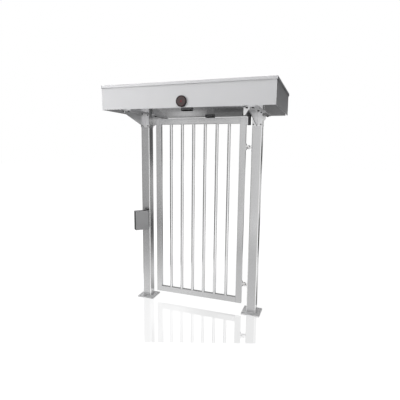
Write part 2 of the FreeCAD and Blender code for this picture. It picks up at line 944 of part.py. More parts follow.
def make_leaf_drive():
    """Spigot on the leaf, the saddle that welds it to the stile, and the clamping hub."""
    spigot = turned("drive_spigot", [
        ("0", "0"),
        ("spigot_radius", "0"),
        ("spigot_radius", "spigot_top - spigot_bottom"),
        ("shaft_radius", "spigot_top - spigot_bottom"),
        ("shaft_radius", "spigot_top - spigot_bottom + 19"),
        ("0", "spigot_top - spigot_bottom + 19"),
    ])
    node(place(spigot, "hinge_axis", "0", "spigot_bottom"), "drive_spigot")
    hub = turned("coupling_hub", [
        ("shaft_radius", "0"),
        ("hub_radius - 2", "0"),
        ("hub_radius", "2"),
        ("hub_radius", "hub_top - spigot_top - 2"),
        ("hub_radius - 2", "hub_top - spigot_top"),
        ("shaft_radius", "hub_top - spigot_top"),
    ])
    node(place(hub, "hinge_axis", "0", "spigot_top"), "coupling_hub")
    blank = block(
        "saddle_blank", "hinge_axis - leaf_width / 2 - spigot_radius + 6", "saddle_depth",
        "leaf_bottom + leaf_rise - spigot_bottom - 5",
        "leaf_width / 2", "-saddle_depth / 2", "spigot_bottom + 5",
    )
    seat = rod("saddle_seat", "spigot_radius", "200", "hinge_axis", "0", "spigot_bottom - 50")
    node(cut("drive_saddle", blank, seat), "drive_saddle")


make_leaf_drive()


# ---------------------------------------------------------------- gears

def involute_angle(base_radius, radius):
    """Polar angle that the involute has turned through at a radius."""
    roll = math.sqrt(max((radius / base_radius) ** 2 - 1, 0))
    return roll - math.atan(roll)


def gear_blank(teeth, first_tooth):
    """Spur gear outline with 20 degree involute teeth, thinned for running slack."""
    module = value("gear_module")
    pitch = module * teeth / 2
    base = pitch * math.cos(math.radians(20))
    tip = pitch + module
    root = pitch - 1.25 * module
    start = max(base, root)
    half_pitch = math.pi / (2 * teeth) - value("tooth_slack") / (2 * pitch)
    half_base = half_pitch + involute_angle(base, pitch)
    radii = [start + (tip - start) * i / 4 for i in range(5)]

    def polar(radius, angle):
        return FreeCAD.Vector(radius * math.cos(angle), radius * math.sin(angle), 0)

    edges = []
    for i in range(teeth):
        middle = math.radians(first_tooth) + 2 * math.pi * i / teeth
        step = 2 * math.pi / teeth
        spread = [half_base - involute_angle(base, radius) for radius in radii]
        right = [polar(radius, middle - angle) for radius, angle in zip(radii, spread)]
        left = [polar(radius, middle + angle) for radius, angle in zip(radii, spread)]
        left.reverse()
        foot_right = polar(root, middle - spread[0])
        foot_left = polar(root, middle + spread[0])
        next_foot = polar(root, middle + step - spread[0])
        rising = Part.BSplineCurve()
        rising.interpolate(right)
        falling = Part.BSplineCurve()
        falling.interpolate(left)
        if start > root:
            edges.append(Part.LineSegment(foot_right, right[0]).toShape())
        edges.append(rising.toShape())
        edges.append(Part.Arc(right[-1], polar(tip, middle), left[0]).toShape())
        edges.append(falling.toShape())
        if start > root:
            edges.append(Part.LineSegment(left[-1], foot_left).toShape())
        edges.append(Part.Arc(foot_left, polar(root, middle + step / 2), next_foot).toShape())
    return Part.Face(Part.Wire(edges)).extrude(at(0, 0, value("gear_thick")))


def make_gears():
    """A pinion on the gearbox turns the large gear on the output shaft."""
    level = plate_top + value("housing_rise + gear_lift")
    shaft = value("shaft_radius")
    hub = Part.makeCylinder(shaft + 9, value("gear_thick + 10"), at(0, 0, -4))
    gear = gear_blank(int(value("gear_teeth")), 180).fuse(hub)
    gear = gear.cut(Part.makeCylinder(shaft, 200, at(0, 0, -100)))
    web_radius = value("gear_module * gear_teeth / 2") * 0.6
    for i in range(6):
        angle = math.radians(30 + 60 * i)
        centre = at(web_radius * math.cos(angle), web_radius * math.sin(angle), -50)
        gear = gear.cut(Part.makeCylinder(13, 100, centre))
    gear_item = feature("driven_gear", gear)
    gear_item.Placement.Base = at(axis_x, 0, level)
    node(gear_item, "driven_gear")
    teeth = int(value("pinion_teeth"))
    stub = Part.makeCylinder(10, 40, at(0, 0, -30))
    pinion = gear_blank(teeth, 180 / teeth).fuse(stub)
    pinion_item = feature("pinion", pinion)
    pinion_item.Placement.Base = at(pinion_x, 0, level)
    node(pinion_item, "pinion")


make_gears()


# ---------------------------------------------------------------- gearbox and motor

def make_gearbox():
    """Worm gearbox on two feet, with the motor flanged to its left side."""
    half = value("gearbox_size / 2")
    foot = Part.makeBox(2 * half, 2 * half + 36, value("drive_plate_thick"), at(-half, -half - 18, 0))
    case = Part.makeBox(2 * half, 2 * half, value("housing_rise"), at(-half, -half, 0))
    upright = [edge for edge in case.Edges if is_upright(edge)]
    case = case.makeFillet(8, upright)
    body = case.fuse(foot)
    bore = Part.makeCylinder(10 + value("running_fit"), 40, at(0, 0, value("housing_rise") - 30))
    body = body.cut(bore)
    screw_level = value("drive_plate_thick")
    for point in gearbox_screw_points(screw_level):
        body = body.cut(
            Part.makeCylinder(screw_radius + hole_slack, 60, at(point.x - pinion_x, point.y, -5))
        )
    item = feature("gearbox", body.removeSplitter())
    item.Placement.Base = at(pinion_x, 0, plate_top)
    node(item, "gearbox")
    motor = turned("motor", [
        ("0", "0"),
        ("motor_radius", "0"),
        ("motor_radius", "8"),
        ("motor_radius - 3", "8"),
        ("motor_radius - 3", "motor_length - 40"),
        ("motor_radius - 6", "motor_length - 40"),
        ("motor_radius - 6", "motor_length - 4"),
        ("motor_radius - 10", "motor_length"),
        ("0", "motor_length"),
    ])
    place(
        motor,
        "hinge_axis - gear_module * (gear_teeth + pinion_teeth) / 2 - mesh_gap - gearbox_size / 2",
        "0",
        "canopy_underside + sheet_thick + tube_high + drive_plate_thick + housing_rise / 2",
        -90,
        Y_AXIS,
    )
    node(motor, "motor")


make_gearbox()
seat_level = plate_top + value("drive_plate_thick")
fastener_group(
    "drive_screws",
    button_screw(screw_radius, drive_screw_length),
    [
        (point, at(0, 0, 1))
        for point in housing_screw_points(seat_level) + gearbox_screw_points(seat_level)
    ],
)


# ---------------------------------------------------------------- lock

def make_lock():
    """Notched disc on the shaft, and a solenoid whose pin enters a notch to lock the leaf."""
    radius = value("lock_disc_radius")
    thick = value("lock_disc_thick")
    shaft = value("shaft_radius")
    notch = value("lock_notch")
    disc = Part.makeCylinder(radius, thick)
    disc = disc.fuse(Part.makeCylinder(shaft + 8, 14, at(0, 0, -14)))
    disc = disc.cut(Part.makeCylinder(shaft, 200, at(0, 0, -100)))
    for turn in (90, 180, 270):
        slot = Part.makeBox(notch + 5, notch, thick, at(radius - notch, -notch / 2, 0))
        slot.rotate(at(0, 0, 0), Z_AXIS, turn)
        disc = disc.cut(slot)
    item = feature("lock_disc", disc)
    item.Placement.Base = at(axis_x, 0, value("lock_disc_bottom"))
    node(item, "lock_disc")
    middle = "lock_disc_bottom + lock_disc_thick / 2"
    tip = "hinge_axis - lock_disc_radius - lock_clear"
    case = block(
        "solenoid_case", "60", "44", "canopy_underside + sheet_thick + tube_high - lock_disc_bottom + 18",
        f"{tip} - 84", "-22", "lock_disc_bottom - 18",
    )
    bore = rod(
        "solenoid_bore", "lock_pin_radius + running_fit", "60",
        f"{tip} - 64", "0", middle, 90, Y_AXIS,
    )
    node(cut("lock_solenoid", case, bore), "lock_solenoid")
    pin = rod("pin_rod", "lock_pin_radius", "62", f"{tip} - 62", "0", middle, 90, Y_AXIS)
    collar = rod("pin_collar", "lock_pin_radius + 3", "4", f"{tip} - 20", "0", middle, 90, Y_AXIS)
    node(fuse("lock_plunger", pin, collar), "lock_plunger")


make_lock()


# ---------------------------------------------------------------- electronics in the canopy

def make_electronics():
    """Counting controller and power supply, both on the pan."""
    level = "canopy_underside + sheet_thick"
    controller = centred_block("controller_case", "220", "160", "85", "-370", "0", level)
    node(round_edges("counter_controller", controller, "6", is_upright), "counter_controller")
    supply = centred_block("supply_case", "160", "98", "42", "-140", "0", level)
    node(round_edges("power_supply", supply, "2", is_upright), "power_supply")


make_electronics()


# ---------------------------------------------------------------- leaf

def make_leaf():
    """Welded frame of rectangular tube with six round bars."""
    stile_length = "leaf_rise - 2 * end_cap_thick"
    for label, side in (("left_stile", "-"), ("right_stile", "")):
        tube = square_tube(
            label + "_tube", "leaf_tube_face", "leaf_tube_depth", "leaf_tube_wall",
            "leaf_tube_corner", stile_length,
        )
        place(tube, f"{side}(leaf_width - leaf_tube_face) / 2", "0", "leaf_bottom + end_cap_thick")
        if side:
            node(tube, label)
            continue
        holes = [
            Part.makeCylinder(screw_radius, screw_length, point, direction.negative())
            for point, direction in leaf_lug_screw_seats()
        ]
        node(cut(label, tube, feature(label + "_taps", Part.makeCompound(holes))), label)
    rail_length = "leaf_width - 2 * leaf_tube_face"
    for label, level in (
        ("bottom_rail", "leaf_bottom + leaf_tube_face / 2"),
        ("top_rail", "leaf_bottom + leaf_rise - leaf_tube_face / 2"),
    ):
        rail = square_tube(
            label, "leaf_tube_face", "leaf_tube_depth", "leaf_tube_wall",
            "leaf_tube_corner", rail_length,
        )
        node(place(rail, f"-({rail_length}) / 2", "0", level, 90, Y_AXIS), label)
    bars = []
    count = int(value("leaf_bar_count"))
    clear = f"(({rail_length}) - leaf_bar_count * leaf_bar_diameter) / (leaf_bar_count + 1)"
    length = "leaf_rise - 2 * leaf_tube_face"
    for i in range(count):
        x = f"({i} - (leaf_bar_count - 1) / 2) * (leaf_bar_diameter + {clear})"
        level = "leaf_bottom + leaf_tube_face"
        outer = rod(f"bar_{i}_outer", "leaf_bar_diameter / 2", length, x, "0", level)
        bore = rod(f"bar_{i}_bore", "leaf_bar_diameter / 2 - leaf_bar_wall", length, x, "0", level)
        bars.append(cut(f"bar_{i}", outer, bore))
    group = doc.addObject("Part::Compound", "leaf_bars")
    group.Links = bars
    node(group, "leaf_bars")
    caps = []
    for i, (side, level) in enumerate((
        ("-", "leaf_bottom"),
        ("", "leaf_bottom"),
        ("-", "leaf_bottom + leaf_rise - end_cap_thick"),
        ("", "leaf_bottom + leaf_rise - end_cap_thick"),
    )):
        x = f"{side}(leaf_width - leaf_tube_face) / 2"
        blank = centred_block(
            f"cap_{i}", "leaf_tube_face", "leaf_tube_depth", "end_cap_thick", x, "0", level
        )
        caps.append(round_edges(
            f"cap_{i}_rounded", blank, "leaf_tube_corner", is_upright
        ))
    cap_group = doc.addObject("Part::Compound", "stile_caps")
    cap_group.Links = caps
    node(cap_group, "stile_caps")


make_leaf()


# ---------------------------------------------------------------- hinges

def lug(name, base_x, base_z, hinge, lift, bore):
    """Base plate with a round-ended lug that reaches the hinge axis."""
    base = centred_block(
        name + "_base", "lug_base_thick", "lug_base_wide", "lug_base_high", base_x, "0", base_z
    )
    inner = min(value(base_x), axis_x)
    outer = max(value(base_x), axis_x)
    arm = centred_block(
        name + "_arm", f"{outer - inner}", "lug_width", "lug_thick",
        f"{(inner + outer) / 2}", "0", f"{hinge} + {lift}",
    )
    eye = rod(name + "_eye", "lug_width / 2", "lug_thick", "hinge_axis", "0", f"{hinge} + {lift}")
    hole = rod(name + "_bore", bore, "lug_thick", "hinge_axis", "0", f"{hinge} + {lift}")
    return cut(name + "_bored", fuse(name + "_welded", base, arm, eye), hole)


def make_hinges():
    """Each hinge: a lug on the leaf turns about a fixed pin that stands in a lug on the post."""
    leaf_lift = "(running_gap + bush_flange_thick)"
    post_holes = drills_from_seats("post_lug_holes", post_lug_screw_seats())
    leaf_holes = drills_from_seats("leaf_lug_holes", leaf_lug_screw_seats())
    post_lugs = []
    leaf_lugs = []
    pins = []
    bushes = []
    for place_name, hinge in (("lower", "hinge_low"), ("upper", "hinge_high")):
        post_lug = lug(
            f"{place_name}_post_lug", "post_spacing / 2 - post_size / 2 - lug_base_thick / 2",
            f"{hinge} - lug_thick / 2 - bush_flange_thick - lug_base_high / 2",
            hinge, "(0 - lug_thick)", "hinge_pin_radius",
        )
        post_lugs.append(cut(f"{place_name}_post_lug_drilled", post_lug, post_holes))
        leaf_lug = lug(
            f"{place_name}_leaf_lug", "leaf_width / 2 + lug_base_thick / 2",
            f"{hinge} + bush_flange_thick - lug_base_high / 2",
            hinge, leaf_lift, "bush_radius",
        )
        leaf_lugs.append(cut(f"{place_name}_leaf_lug_drilled", leaf_lug, leaf_holes))
        pin = turned(f"{place_name}_pin", [
            ("0", "-lug_thick - hinge_pin_head_thick"),
            ("hinge_pin_head", "-lug_thick - hinge_pin_head_thick"),
            ("hinge_pin_head", "-lug_thick"),
            ("hinge_pin_radius", "-lug_thick"),
            ("hinge_pin_radius", "lug_thick + 6"),
            ("hinge_pin_radius - 1", "lug_thick + 7"),
            ("0", "lug_thick + 7"),
        ])
        pins.append(place(pin, "hinge_axis", "0", hinge))
        bush = turned(f"{place_name}_bush", [
            ("hinge_pin_radius + running_fit", "running_gap"),
            ("bush_flange_radius", "running_gap"),
            ("bush_flange_radius", "running_gap + bush_flange_thick"),
            ("bush_radius", "running_gap + bush_flange_thick"),
            ("bush_radius", "running_gap + bush_flange_thick + lug_thick"),
            ("hinge_pin_radius + running_fit", "running_gap + bush_flange_thick + lug_thick"),
        ])
        bushes.append(place(bush, "hinge_axis", "0", hinge))
    for label, items in (
        ("post_lugs", post_lugs),
        ("leaf_lugs", leaf_lugs),
        ("hinge_pins", pins),
        ("hinge_bushes", bushes),
    ):
        pair = doc.addObject("Part::Compound", label)
        pair.Links = items
        node(pair, label)


def drills_from_seats(name, seats):
    holes = [
        Part.makeCylinder(screw_radius + hole_slack, screw_length, point, direction.negative())
        for point, direction in seats
    ]
    return feature(name, Part.makeCompound(holes))


make_hinges()
fastener_group("leaf_screws", button_screw(screw_radius, screw_length), leaf_lug_screw_seats())


# ---------------------------------------------------------------- indicator

def make_indicator():
    """Round light on the front fascia: cup, light board and front lens."""
    front = "-canopy_depth / 2"
    cup = turned("indicator_cup", [
        ("0", "indicator_stand - 14"),
        ("indicator_radius - 5", "indicator_stand - 14"),
        ("indicator_radius - 5", "indicator_stand"),
        ("indicator_radius - 2", "indicator_stand"),
        ("indicator_radius", "indicator_stand - 2"),
        ("indicator_radius", "0"),
        ("indicator_radius / 2", "0"),
        ("indicator_radius / 2", "-26"),
        ("0", "-26"),
    ])
    board = turned("indicator_board", [
        ("0", "indicator_stand - 14"),
        ("indicator_radius - 8", "indicator_stand - 14"),
        ("indicator_radius - 8", "indicator_stand - 11.5"),
        ("0", "indicator_stand - 11.5"),
    ])
    lens = turned("indicator_lens", [
        ("0", "indicator_stand - 4"),
        ("indicator_radius - 5", "indicator_stand - 4"),
        ("indicator_radius - 5", "indicator_stand - 1"),
        ("0", "indicator_stand - 1"),
    ])
    for item, label in (
        (cup, "indicator_housing"),
        (board, "indicator_board"),
        (lens, "indicator_lens"),
    ):
        node(place(item, "0", front, "indicator_centre", 90, X_AXIS), label)


make_indicator()


# ---------------------------------------------------------------- presence sensors

def make_sensors():
    """Two slim sensors under the canopy watch the floor on each side of the leaf."""
    windows = []
    for label, side in (("front_sensor", "-"), ("rear_sensor", "")):
        middle = f"{side}(sensor_front_face - sensor_depth / 2)"
        blank = centred_block(
            label + "_blank", "sensor_wide", "sensor_depth", "sensor_drop",
            "0", middle, "canopy_underside - sensor_drop",
        )
        case = round_edges(label + "_case", blank, "6", is_upright)
        recess = centred_block(
            label + "_recess", "sensor_wide - 20", "sensor_depth - 18", "2",
            "0", middle, "canopy_underside - sensor_drop",
        )
        node(cut(label, case, recess), label)
        windows.append(centred_block(
            label + "_window", "sensor_wide - 20", "sensor_depth - 18", "2",
            "0", middle, "canopy_underside - sensor_drop",
        ))
    pair = doc.addObject("Part::Compound", "sensor_windows")
    pair.Links = windows
    node(pair, "sensor_windows")


make_sensors()


# ---------------------------------------------------------------- reader on the left post

def make_reader():
    """Card reader turned towards the passage: folded bracket, box, board and cover."""
    low = "reader_centre - reader_high / 2"
    wall = "reader_wall"
    cover_thick = "4"
    turn = value("reader_turn")

    def placed(item):
        return place(item, "reader_x", "reader_y", low, turn)

    outer = centred_block("reader_outer", "reader_wide", "reader_depth", "reader_high")
    rounded = round_edges("reader_rounded", outer, "8", is_upright)
    front = block(
        "reader_front_slab", "reader_wide", cover_thick, "reader_high",
        "-reader_wide / 2", "-reader_depth / 2",
    )
    cavity = block(
        "reader_cavity", f"reader_wide - 2 * {wall}", f"reader_depth - {wall}",
        f"reader_high - 2 * {wall}", f"-reader_wide / 2 + {wall}", "-reader_depth / 2", wall,
    )
    rounded_cavity = round_edges("reader_cavity_rounded", cavity, "5", is_upright)
    shell = cut("reader_shell", cut("reader_rear_half", rounded, front), rounded_cavity)
    pillars = [
        rod(
            f"reader_pillar_{i}", "4", "reader_depth / 2 - 12",
            f"{x}50", "reader_depth / 2 - 1", f"reader_high / 2 {z} 80", 90, X_AXIS,
        )
        for i, (x, z) in enumerate((("-", "-"), ("", "-"), ("-", "+"), ("", "+")))
    ]
    node(placed(fuse("reader_box", shell, *pillars)), "reader_box")
    cover = doc.addObject("Part::Common", "reader_cover")
    cover.Base = rounded
    cover.Tool = front
    node(placed(cover), "reader_cover")
    board = block(
        "reader_board_blank", "116", "1.6", "176",
        "-58", "reader_depth / 2 - 1 - (reader_depth / 2 - 12) - 1.6", "reader_high / 2 - 88",
    )
    carrier = doc.addObject("Part::Compound", "reader_board_carrier")
    carrier.Links = [board]
    node(placed(carrier), "reader_board")
    make_reader_bracket(math.radians(turn))


def make_reader_bracket(turn):
    """Plate folded to a V: one leg on the post, the other on the back of the reader."""
    along = at(-math.cos(turn), -math.sin(turn), 0)
    backward = at(-math.sin(turn), math.cos(turn), 0)
    centre = at(value("reader_x"), value("reader_y"), 0)
    corner = centre + backward * value("reader_depth / 2") - along * value("reader_wide / 2")
    start = corner + along * 12
    end = corner + along * 110
    fold = bracket_fold
    post_front = -post_face
    # The rear side of the sloping leg meets the front side of the leg on the post here.
    inner = start + backward * fold
    inner = inner + along * ((post_front - fold - inner.y) / along.y)
    left = inner.x - 58
    outline = [
        at(left, post_front, 0),
        at(inner.x + 5, post_front, 0),
        start + along * ((post_front - 6 - start.y) / along.y),
        end,
        end + backward * fold,
        inner,
        at(left, post_front - fold, 0),
        at(left, post_front, 0),
    ]
    high = 110
    plate = Part.Face(Part.makePolygon(outline)).extrude(at(0, 0, high))
    plate.translate(at(0, 0, value("reader_centre") - high / 2))
    for point, direction in reader_screw_seats():
        hole = Part.makeCylinder(screw_radius + hole_slack, screw_length, point, direction.negative())
        plate = plate.cut(hole)
    node(feature("reader_bracket", plate), "reader_bracket")


make_reader()


# ---------------------------------------------------------------- check and write

doc.recompute()
for item in doc.Objects:
    if "Invalid" in item.State or "Error" in item.State:
        raise RuntimeError(f"{item.Name} failed to build")

os.makedirs("parts", exist_ok=True)
for item in NODES:
    shape = item.Shape
    if shape.isNull() or not shape.isValid():
        raise RuntimeError(f"{item.Label} has no valid shape")
    shape.exportStep(f"parts/{item.Label}.step")
print(len(NODES), "nodes written")
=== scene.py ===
import math

import bpy
from mathutils import Matrix, Vector


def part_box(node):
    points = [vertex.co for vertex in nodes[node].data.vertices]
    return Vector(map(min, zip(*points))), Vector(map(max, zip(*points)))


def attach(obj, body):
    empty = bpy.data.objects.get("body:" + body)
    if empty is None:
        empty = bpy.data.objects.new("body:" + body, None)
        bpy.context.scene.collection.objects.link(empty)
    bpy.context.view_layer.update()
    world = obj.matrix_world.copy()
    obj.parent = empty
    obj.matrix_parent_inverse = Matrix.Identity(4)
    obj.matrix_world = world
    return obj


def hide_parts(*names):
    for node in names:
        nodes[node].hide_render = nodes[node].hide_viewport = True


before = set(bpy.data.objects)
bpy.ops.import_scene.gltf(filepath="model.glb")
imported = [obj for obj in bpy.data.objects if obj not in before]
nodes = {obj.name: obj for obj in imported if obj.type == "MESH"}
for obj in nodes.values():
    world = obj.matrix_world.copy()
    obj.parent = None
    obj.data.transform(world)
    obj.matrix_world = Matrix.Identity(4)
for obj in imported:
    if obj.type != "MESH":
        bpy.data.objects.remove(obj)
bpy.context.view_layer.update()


# ---------------------------------------------------------------- camera
# A standing view from the front right, a little above head height.
# The lens is a moderate wide angle, turned left towards the gate and tilted slightly down.

EYE = (1.27697, -3.58823, 1.77578)
TURN_LEFT, TILT_DOWN, ROLL = 0.33821, 0.14697, 0.010804
SENSOR_WIDTH, FOCAL_LENGTH = 36, 30.994

camera_data = bpy.data.cameras.new("camera")
camera_data.sensor_width = SENSOR_WIDTH
camera_data.lens = FOCAL_LENGTH
camera = bpy.data.objects.new("camera", camera_data)
bpy.context.scene.collection.objects.link(camera)
camera.matrix_world = (
    Matrix.Translation(EYE)
    @ Matrix.Rotation(TURN_LEFT, 4, "Z")
    @ Matrix.Rotation(math.pi / 2 - TILT_DOWN, 4, "X")
    @ Matrix.Rotation(ROLL, 4, "Z")
)
bpy.context.scene.camera = camera
bpy.context.scene.view_settings.view_transform = "Standard"


# ---------------------------------------------------------------- studio
# A pale polished floor and a white surround, with soft boxes front left, front right, above and
# rear left. Grey flags stand out of view, as beside any bright metal object, and only its
# reflections show them.

WHITE = (1, 1, 1, 1)
AMBIENT, AMBIENT_STRENGTH = (0.97, 0.98, 1, 1), 0.14
FLOOR_SIZE, FLOOR_GREY, FLOOR_MIRROR_ROUGHNESS = 60, (0.22, 0.22, 0.22, 1), 0.02
FLOOR_NEAR, FLOOR_FAR, NEAR_GLOW, FAR_GLOW = 1.2, 2.6, 0.93, 1.0
POLISH_FROM, POLISH_TO, LEFT_POLISH, RIGHT_POLISH = -0.1, 0.75, 0.22, 0.48


def node(tree, kind, **values):
    """Add a shader node, set its own settings, then its inputs by name."""
    made = tree.nodes.new("ShaderNode" + kind)
    inputs = values.pop("inputs", {})
    for key, value in values.items():
        setattr(made, key, value)
    for key, value in inputs.items():
        made.inputs[key].default_value = value
    return made


def link(tree, source, target):
    """Join an output socket to an input socket."""
    tree.links.new(source, target)


def calculated(tree, operation, *terms):
    """The result of one calculation on sockets and plain numbers."""
    made = node(tree, "Math", operation=operation)
    for number, term in enumerate(terms):
        if isinstance(term, float):
            made.inputs[number].default_value = term
        else:
            link(tree, term, made.inputs[number])
    return made.outputs[0]


def ranged(tree, source, start, end, low=0.0, high=1.0):
    """A number carried over from one range to another, and held at both ends."""
    made = node(tree, "MapRange", inputs={
        "From Min": start, "From Max": end, "To Min": low, "To Max": high,
    })
    link(tree, source, made.inputs["Value"])
    return made.outputs[0]


def parts_of(tree, source):
    """The X, Y and Z of a place or a direction."""
    made = node(tree, "SeparateXYZ")
    link(tree, source, made.inputs[0])
    return made.outputs


def distance_out(tree, source):
    """How far a place is from its zero point."""
    made = node(tree, "VectorMath", operation="LENGTH")
    link(tree, source, made.inputs[0])
    return made.outputs["Value"]


def graded(tree, source, stops):
    """A colour for each number: plain colours at their stops, blended in between."""
    ramp = node(tree, "ValToRGB")
    points = ramp.color_ramp.elements
    for point, (stop, colour) in zip(points, (stops[0], stops[-1])):
        point.position = stop
        point.color = (*colour, 1)
    for stop, colour in stops[1:-1]:
        points.new(stop).color = (*colour, 1)
    link(tree, source, ramp.inputs["Fac"])
    return ramp.outputs["Color"]


def blended(tree, share, first, second):
    """Two surfaces mixed by a share."""
    made = node(tree, "MixShader")
    link(tree, share, made.inputs["Fac"])
    link(tree, first.outputs[0], made.inputs[1])
    link(tree, second.outputs[0], made.inputs[2])
    return made


def blank_finish(name):
    """A material with nothing in it yet."""
    material = bpy.data.materials.new(name)
    material.use_nodes = True
    material.node_tree.nodes.clear()
    return material, material.node_tree


def show(tree, surface, output="OutputMaterial"):
    """Make a surface the one that shows."""
    link(tree, surface.outputs[0], node(tree, output).inputs["Surface"])


def own_place(tree):
    """Places in the piece's own axes."""
    return node(tree, "TexCoord").outputs["Object"]


def own_facing(tree):
    """The direction that the surface faces."""
    return node(tree, "NewGeometry").outputs["Normal"]


def seen_rays(tree):
    """1 for a ray from the camera and for a mirrored or refracted one, 0 for any other."""
    path = node(tree, "LightPath").outputs
    either = calculated(tree, "MAXIMUM", path["Is Camera Ray"], path["Is Glossy Ray"])
    return calculated(tree, "MAXIMUM", either, path["Is Transmission Ray"])


surround = bpy.data.worlds.new("white_surround")
bpy.context.scene.world = surround
surround.use_nodes = True
air = surround.node_tree
air.nodes.clear()
seen = node(air, "Background", inputs={"Color": WHITE, "Strength": 1.0})
ambient = node(air, "Background", inputs={"Color": AMBIENT, "Strength": AMBIENT_STRENGTH})
show(air, blended(air, seen_rays(air), ambient, seen), "OutputWorld")

bpy.ops.mesh.primitive_plane_add(size=FLOOR_SIZE)
floor = bpy.context.object
floor.name = "floor"
floor_finish, tree = blank_finish("polished_floor")
place = own_place(tree)
out = distance_out(tree, place)
level = ranged(tree, out, FLOOR_NEAR, FLOOR_FAR, NEAR_GLOW, FAR_GLOW)
bright = node(tree, "Emission", inputs={"Color": WHITE})
link(tree, calculated(tree, "MULTIPLY", seen_rays(tree), level), bright.inputs["Strength"])
matt = node(tree, "BsdfDiffuse", inputs={"Color": FLOOR_GREY})
pale = node(tree, "AddShader")
link(tree, matt.outputs[0], pale.inputs[0])
link(tree, bright.outputs[0], pale.inputs[1])
mirror = node(tree, "BsdfGlossy", inputs={"Color": WHITE, "Roughness": FLOOR_MIRROR_ROUGHNESS})

# The floor mirrors only round the posts and in front of them, up to a straight front edge, and
# more at the right than at the left. Each edge has a direction, and where it starts and is full.
patch = None
for direction, start, full in (
    ((-0.3316, 0.943, 0), -0.865, -0.835),
    ((0, 1, 0), 0.16, 0.08),
    ((1, 0, 0), -0.95, -0.85),
    ((1, 0, 0), 1.0, 0.9),
):
    dot = node(tree, "VectorMath", operation="DOT_PRODUCT")
    dot.inputs[1].default_value = direction
    link(tree, place, dot.inputs[0])
    edge = ranged(tree, dot.outputs["Value"], start, full)
    patch = edge if patch is None else calculated(tree, "MULTIPLY", patch, edge)
across = parts_of(tree, place)["X"]
polish = ranged(tree, across, POLISH_FROM, POLISH_TO, LEFT_POLISH, RIGHT_POLISH)
show(tree, blended(tree, calculated(tree, "MULTIPLY", patch, polish), pale, mirror))
floor.data.materials.append(floor_finish)


def soft_box(name, where, target, size, power):
    """Square area lamp turned to face a point; bright metal mirrors the surround, not the lamp."""
    lamp = bpy.data.lights.new(name, "AREA")
    lamp.shape = "SQUARE"
    lamp.size = size
    lamp.energy = power
    box = bpy.data.objects.new(name, lamp)
    bpy.context.scene.collection.objects.link(box)
    box.location = where
    box.rotation_euler = (Vector(target) - Vector(where)).to_track_quat("-Z", "Y").to_euler()
    box.visible_glossy = False


# Each has its place, the point it faces, its width in metres and its power in watts.
soft_box("soft_box_left", (-3.4, -3.8, 2.8), (-0.5, 0, 1.6), 2.6, 142)
soft_box("soft_box_right", (1.6, -5.5, 2.6), (0.2, 0, 1.2), 2.4, 80)
soft_box("soft_box_top", (0.0, -1.9, 5.6), (0, 0, 2.4), 2.6, 60)
soft_box("soft_box_rear", (-2.6, 3.8, 2.7), (-0.3, 0.5, 1.8), 2.4, 45)


def flag(name, low, high, tones, across=False, flat=False):
    """Card that only reflections show, from one corner to the other, upright or lying flat.

    Its tones run at even steps from foot to head, or across from the first corner to the second.
    A card that lies flat is blank on its underside.
    """
    span = Vector(high) - Vector(low)
    bpy.ops.mesh.primitive_plane_add(size=1, location=(Vector(low) + Vector(high)) / 2)
    card = bpy.context.object
    card.name = name
    if flat:
        card.scale = (span.x, span.y, 1)
    else:
        card.scale = (math.hypot(span.x, span.y), span.z, 1)
        card.rotation_euler = (math.pi / 2, 0, math.atan2(span.y, span.x))
    for kind in ("camera", "diffuse", "transmission", "volume_scatter", "shadow"):
        setattr(card, f"visible_{kind}", False)
    finish, tree = blank_finish(name)
    along = ranged(tree, parts_of(tree, own_place(tree))["X" if across else "Y"], -0.5, 0.5)
    stops = [(number / (len(tones) - 1), (tone,) * 3) for number, tone in enumerate(tones)]
    glow = node(tree, "Emission", inputs={"Strength": 1.0})
    link(tree, graded(tree, along, stops), glow.inputs["Color"])
    back = node(tree, "BsdfTransparent") if flat else glow
    show(tree, blended(tree, node(tree, "NewGeometry").outputs["Backfacing"], glow, back))
    card.data.materials.append(finish)


# Mirrored in the canopy's underside.
flag(
    "flag_under_canopy", (-1.95, 1.0, 1.62), (0.8, 1.0, 2.135),
    (0.2, 0.2, 0.2, 0.2, 0.22, 0.32, 0.38, 0.36, 0.3, 0.27, 0.22, 0.19, 0.18, 0.17, 0.15, 0.15,
     0.15, 0.15, 0.15, 0.15, 0.16, 0.18, 0.18), across=True,
)
flag(
    "flag_under_light", (-0.85, 0.99, 2.018), (-0.25, 0.99, 2.095),
    (0.3, 0.44, 0.54, 0.54, 0.42, 0.25), across=True,
)
flag(
    "flag_under_dark", (-0.15, 0.99, 1.985), (0.4, 0.99, 2.045),
    (0.1, 0.06, 0.06, 0.1), across=True,
)
# Mirrored in the right-hand sides of the posts and stiles: the outer card in the right ones, the
# inner card in the left ones, and the cards on the floor low down.
flag(
    "flag_rear_outer", (1.9, 5.4, 0.0), (3.1, 5.4, 2.6),
    (0.3, 0.32, 0.4, 0.38, 0.28, 0.18, 0.05, 0.02, 0.03, 0.1, 0.2),
)
flag(
    "flag_rear_inner", (1.2, 5.4, 0.0), (1.9, 5.4, 2.6),
    (0.4, 0.92, 1.0, 1.0, 0.95, 0.3, 0.02, 0.02, 0.75, 1.0, 1.0),
)
flag(
    "flag_floor_rear", (-0.6, 0.15, 0.01), (2.4, 5.4, 0.01),
    (0.5, 0.78, 0.85, 0.64, 0.46, 0.34, 0.24, 0.17, 0.12, 0.09, 0.08, 0.08, 0.1, 0.12, 0.18,
     0.25), flat=True,
)
flag(
    "flag_floor_right", (0.7, 0.15, 0.012), (1.1, 2.95, 0.012),
    (0.2, 0.34, 0.6, 0.9, 0.95, 0.9, 0.35, 0.14, 0.1), flat=True,
)
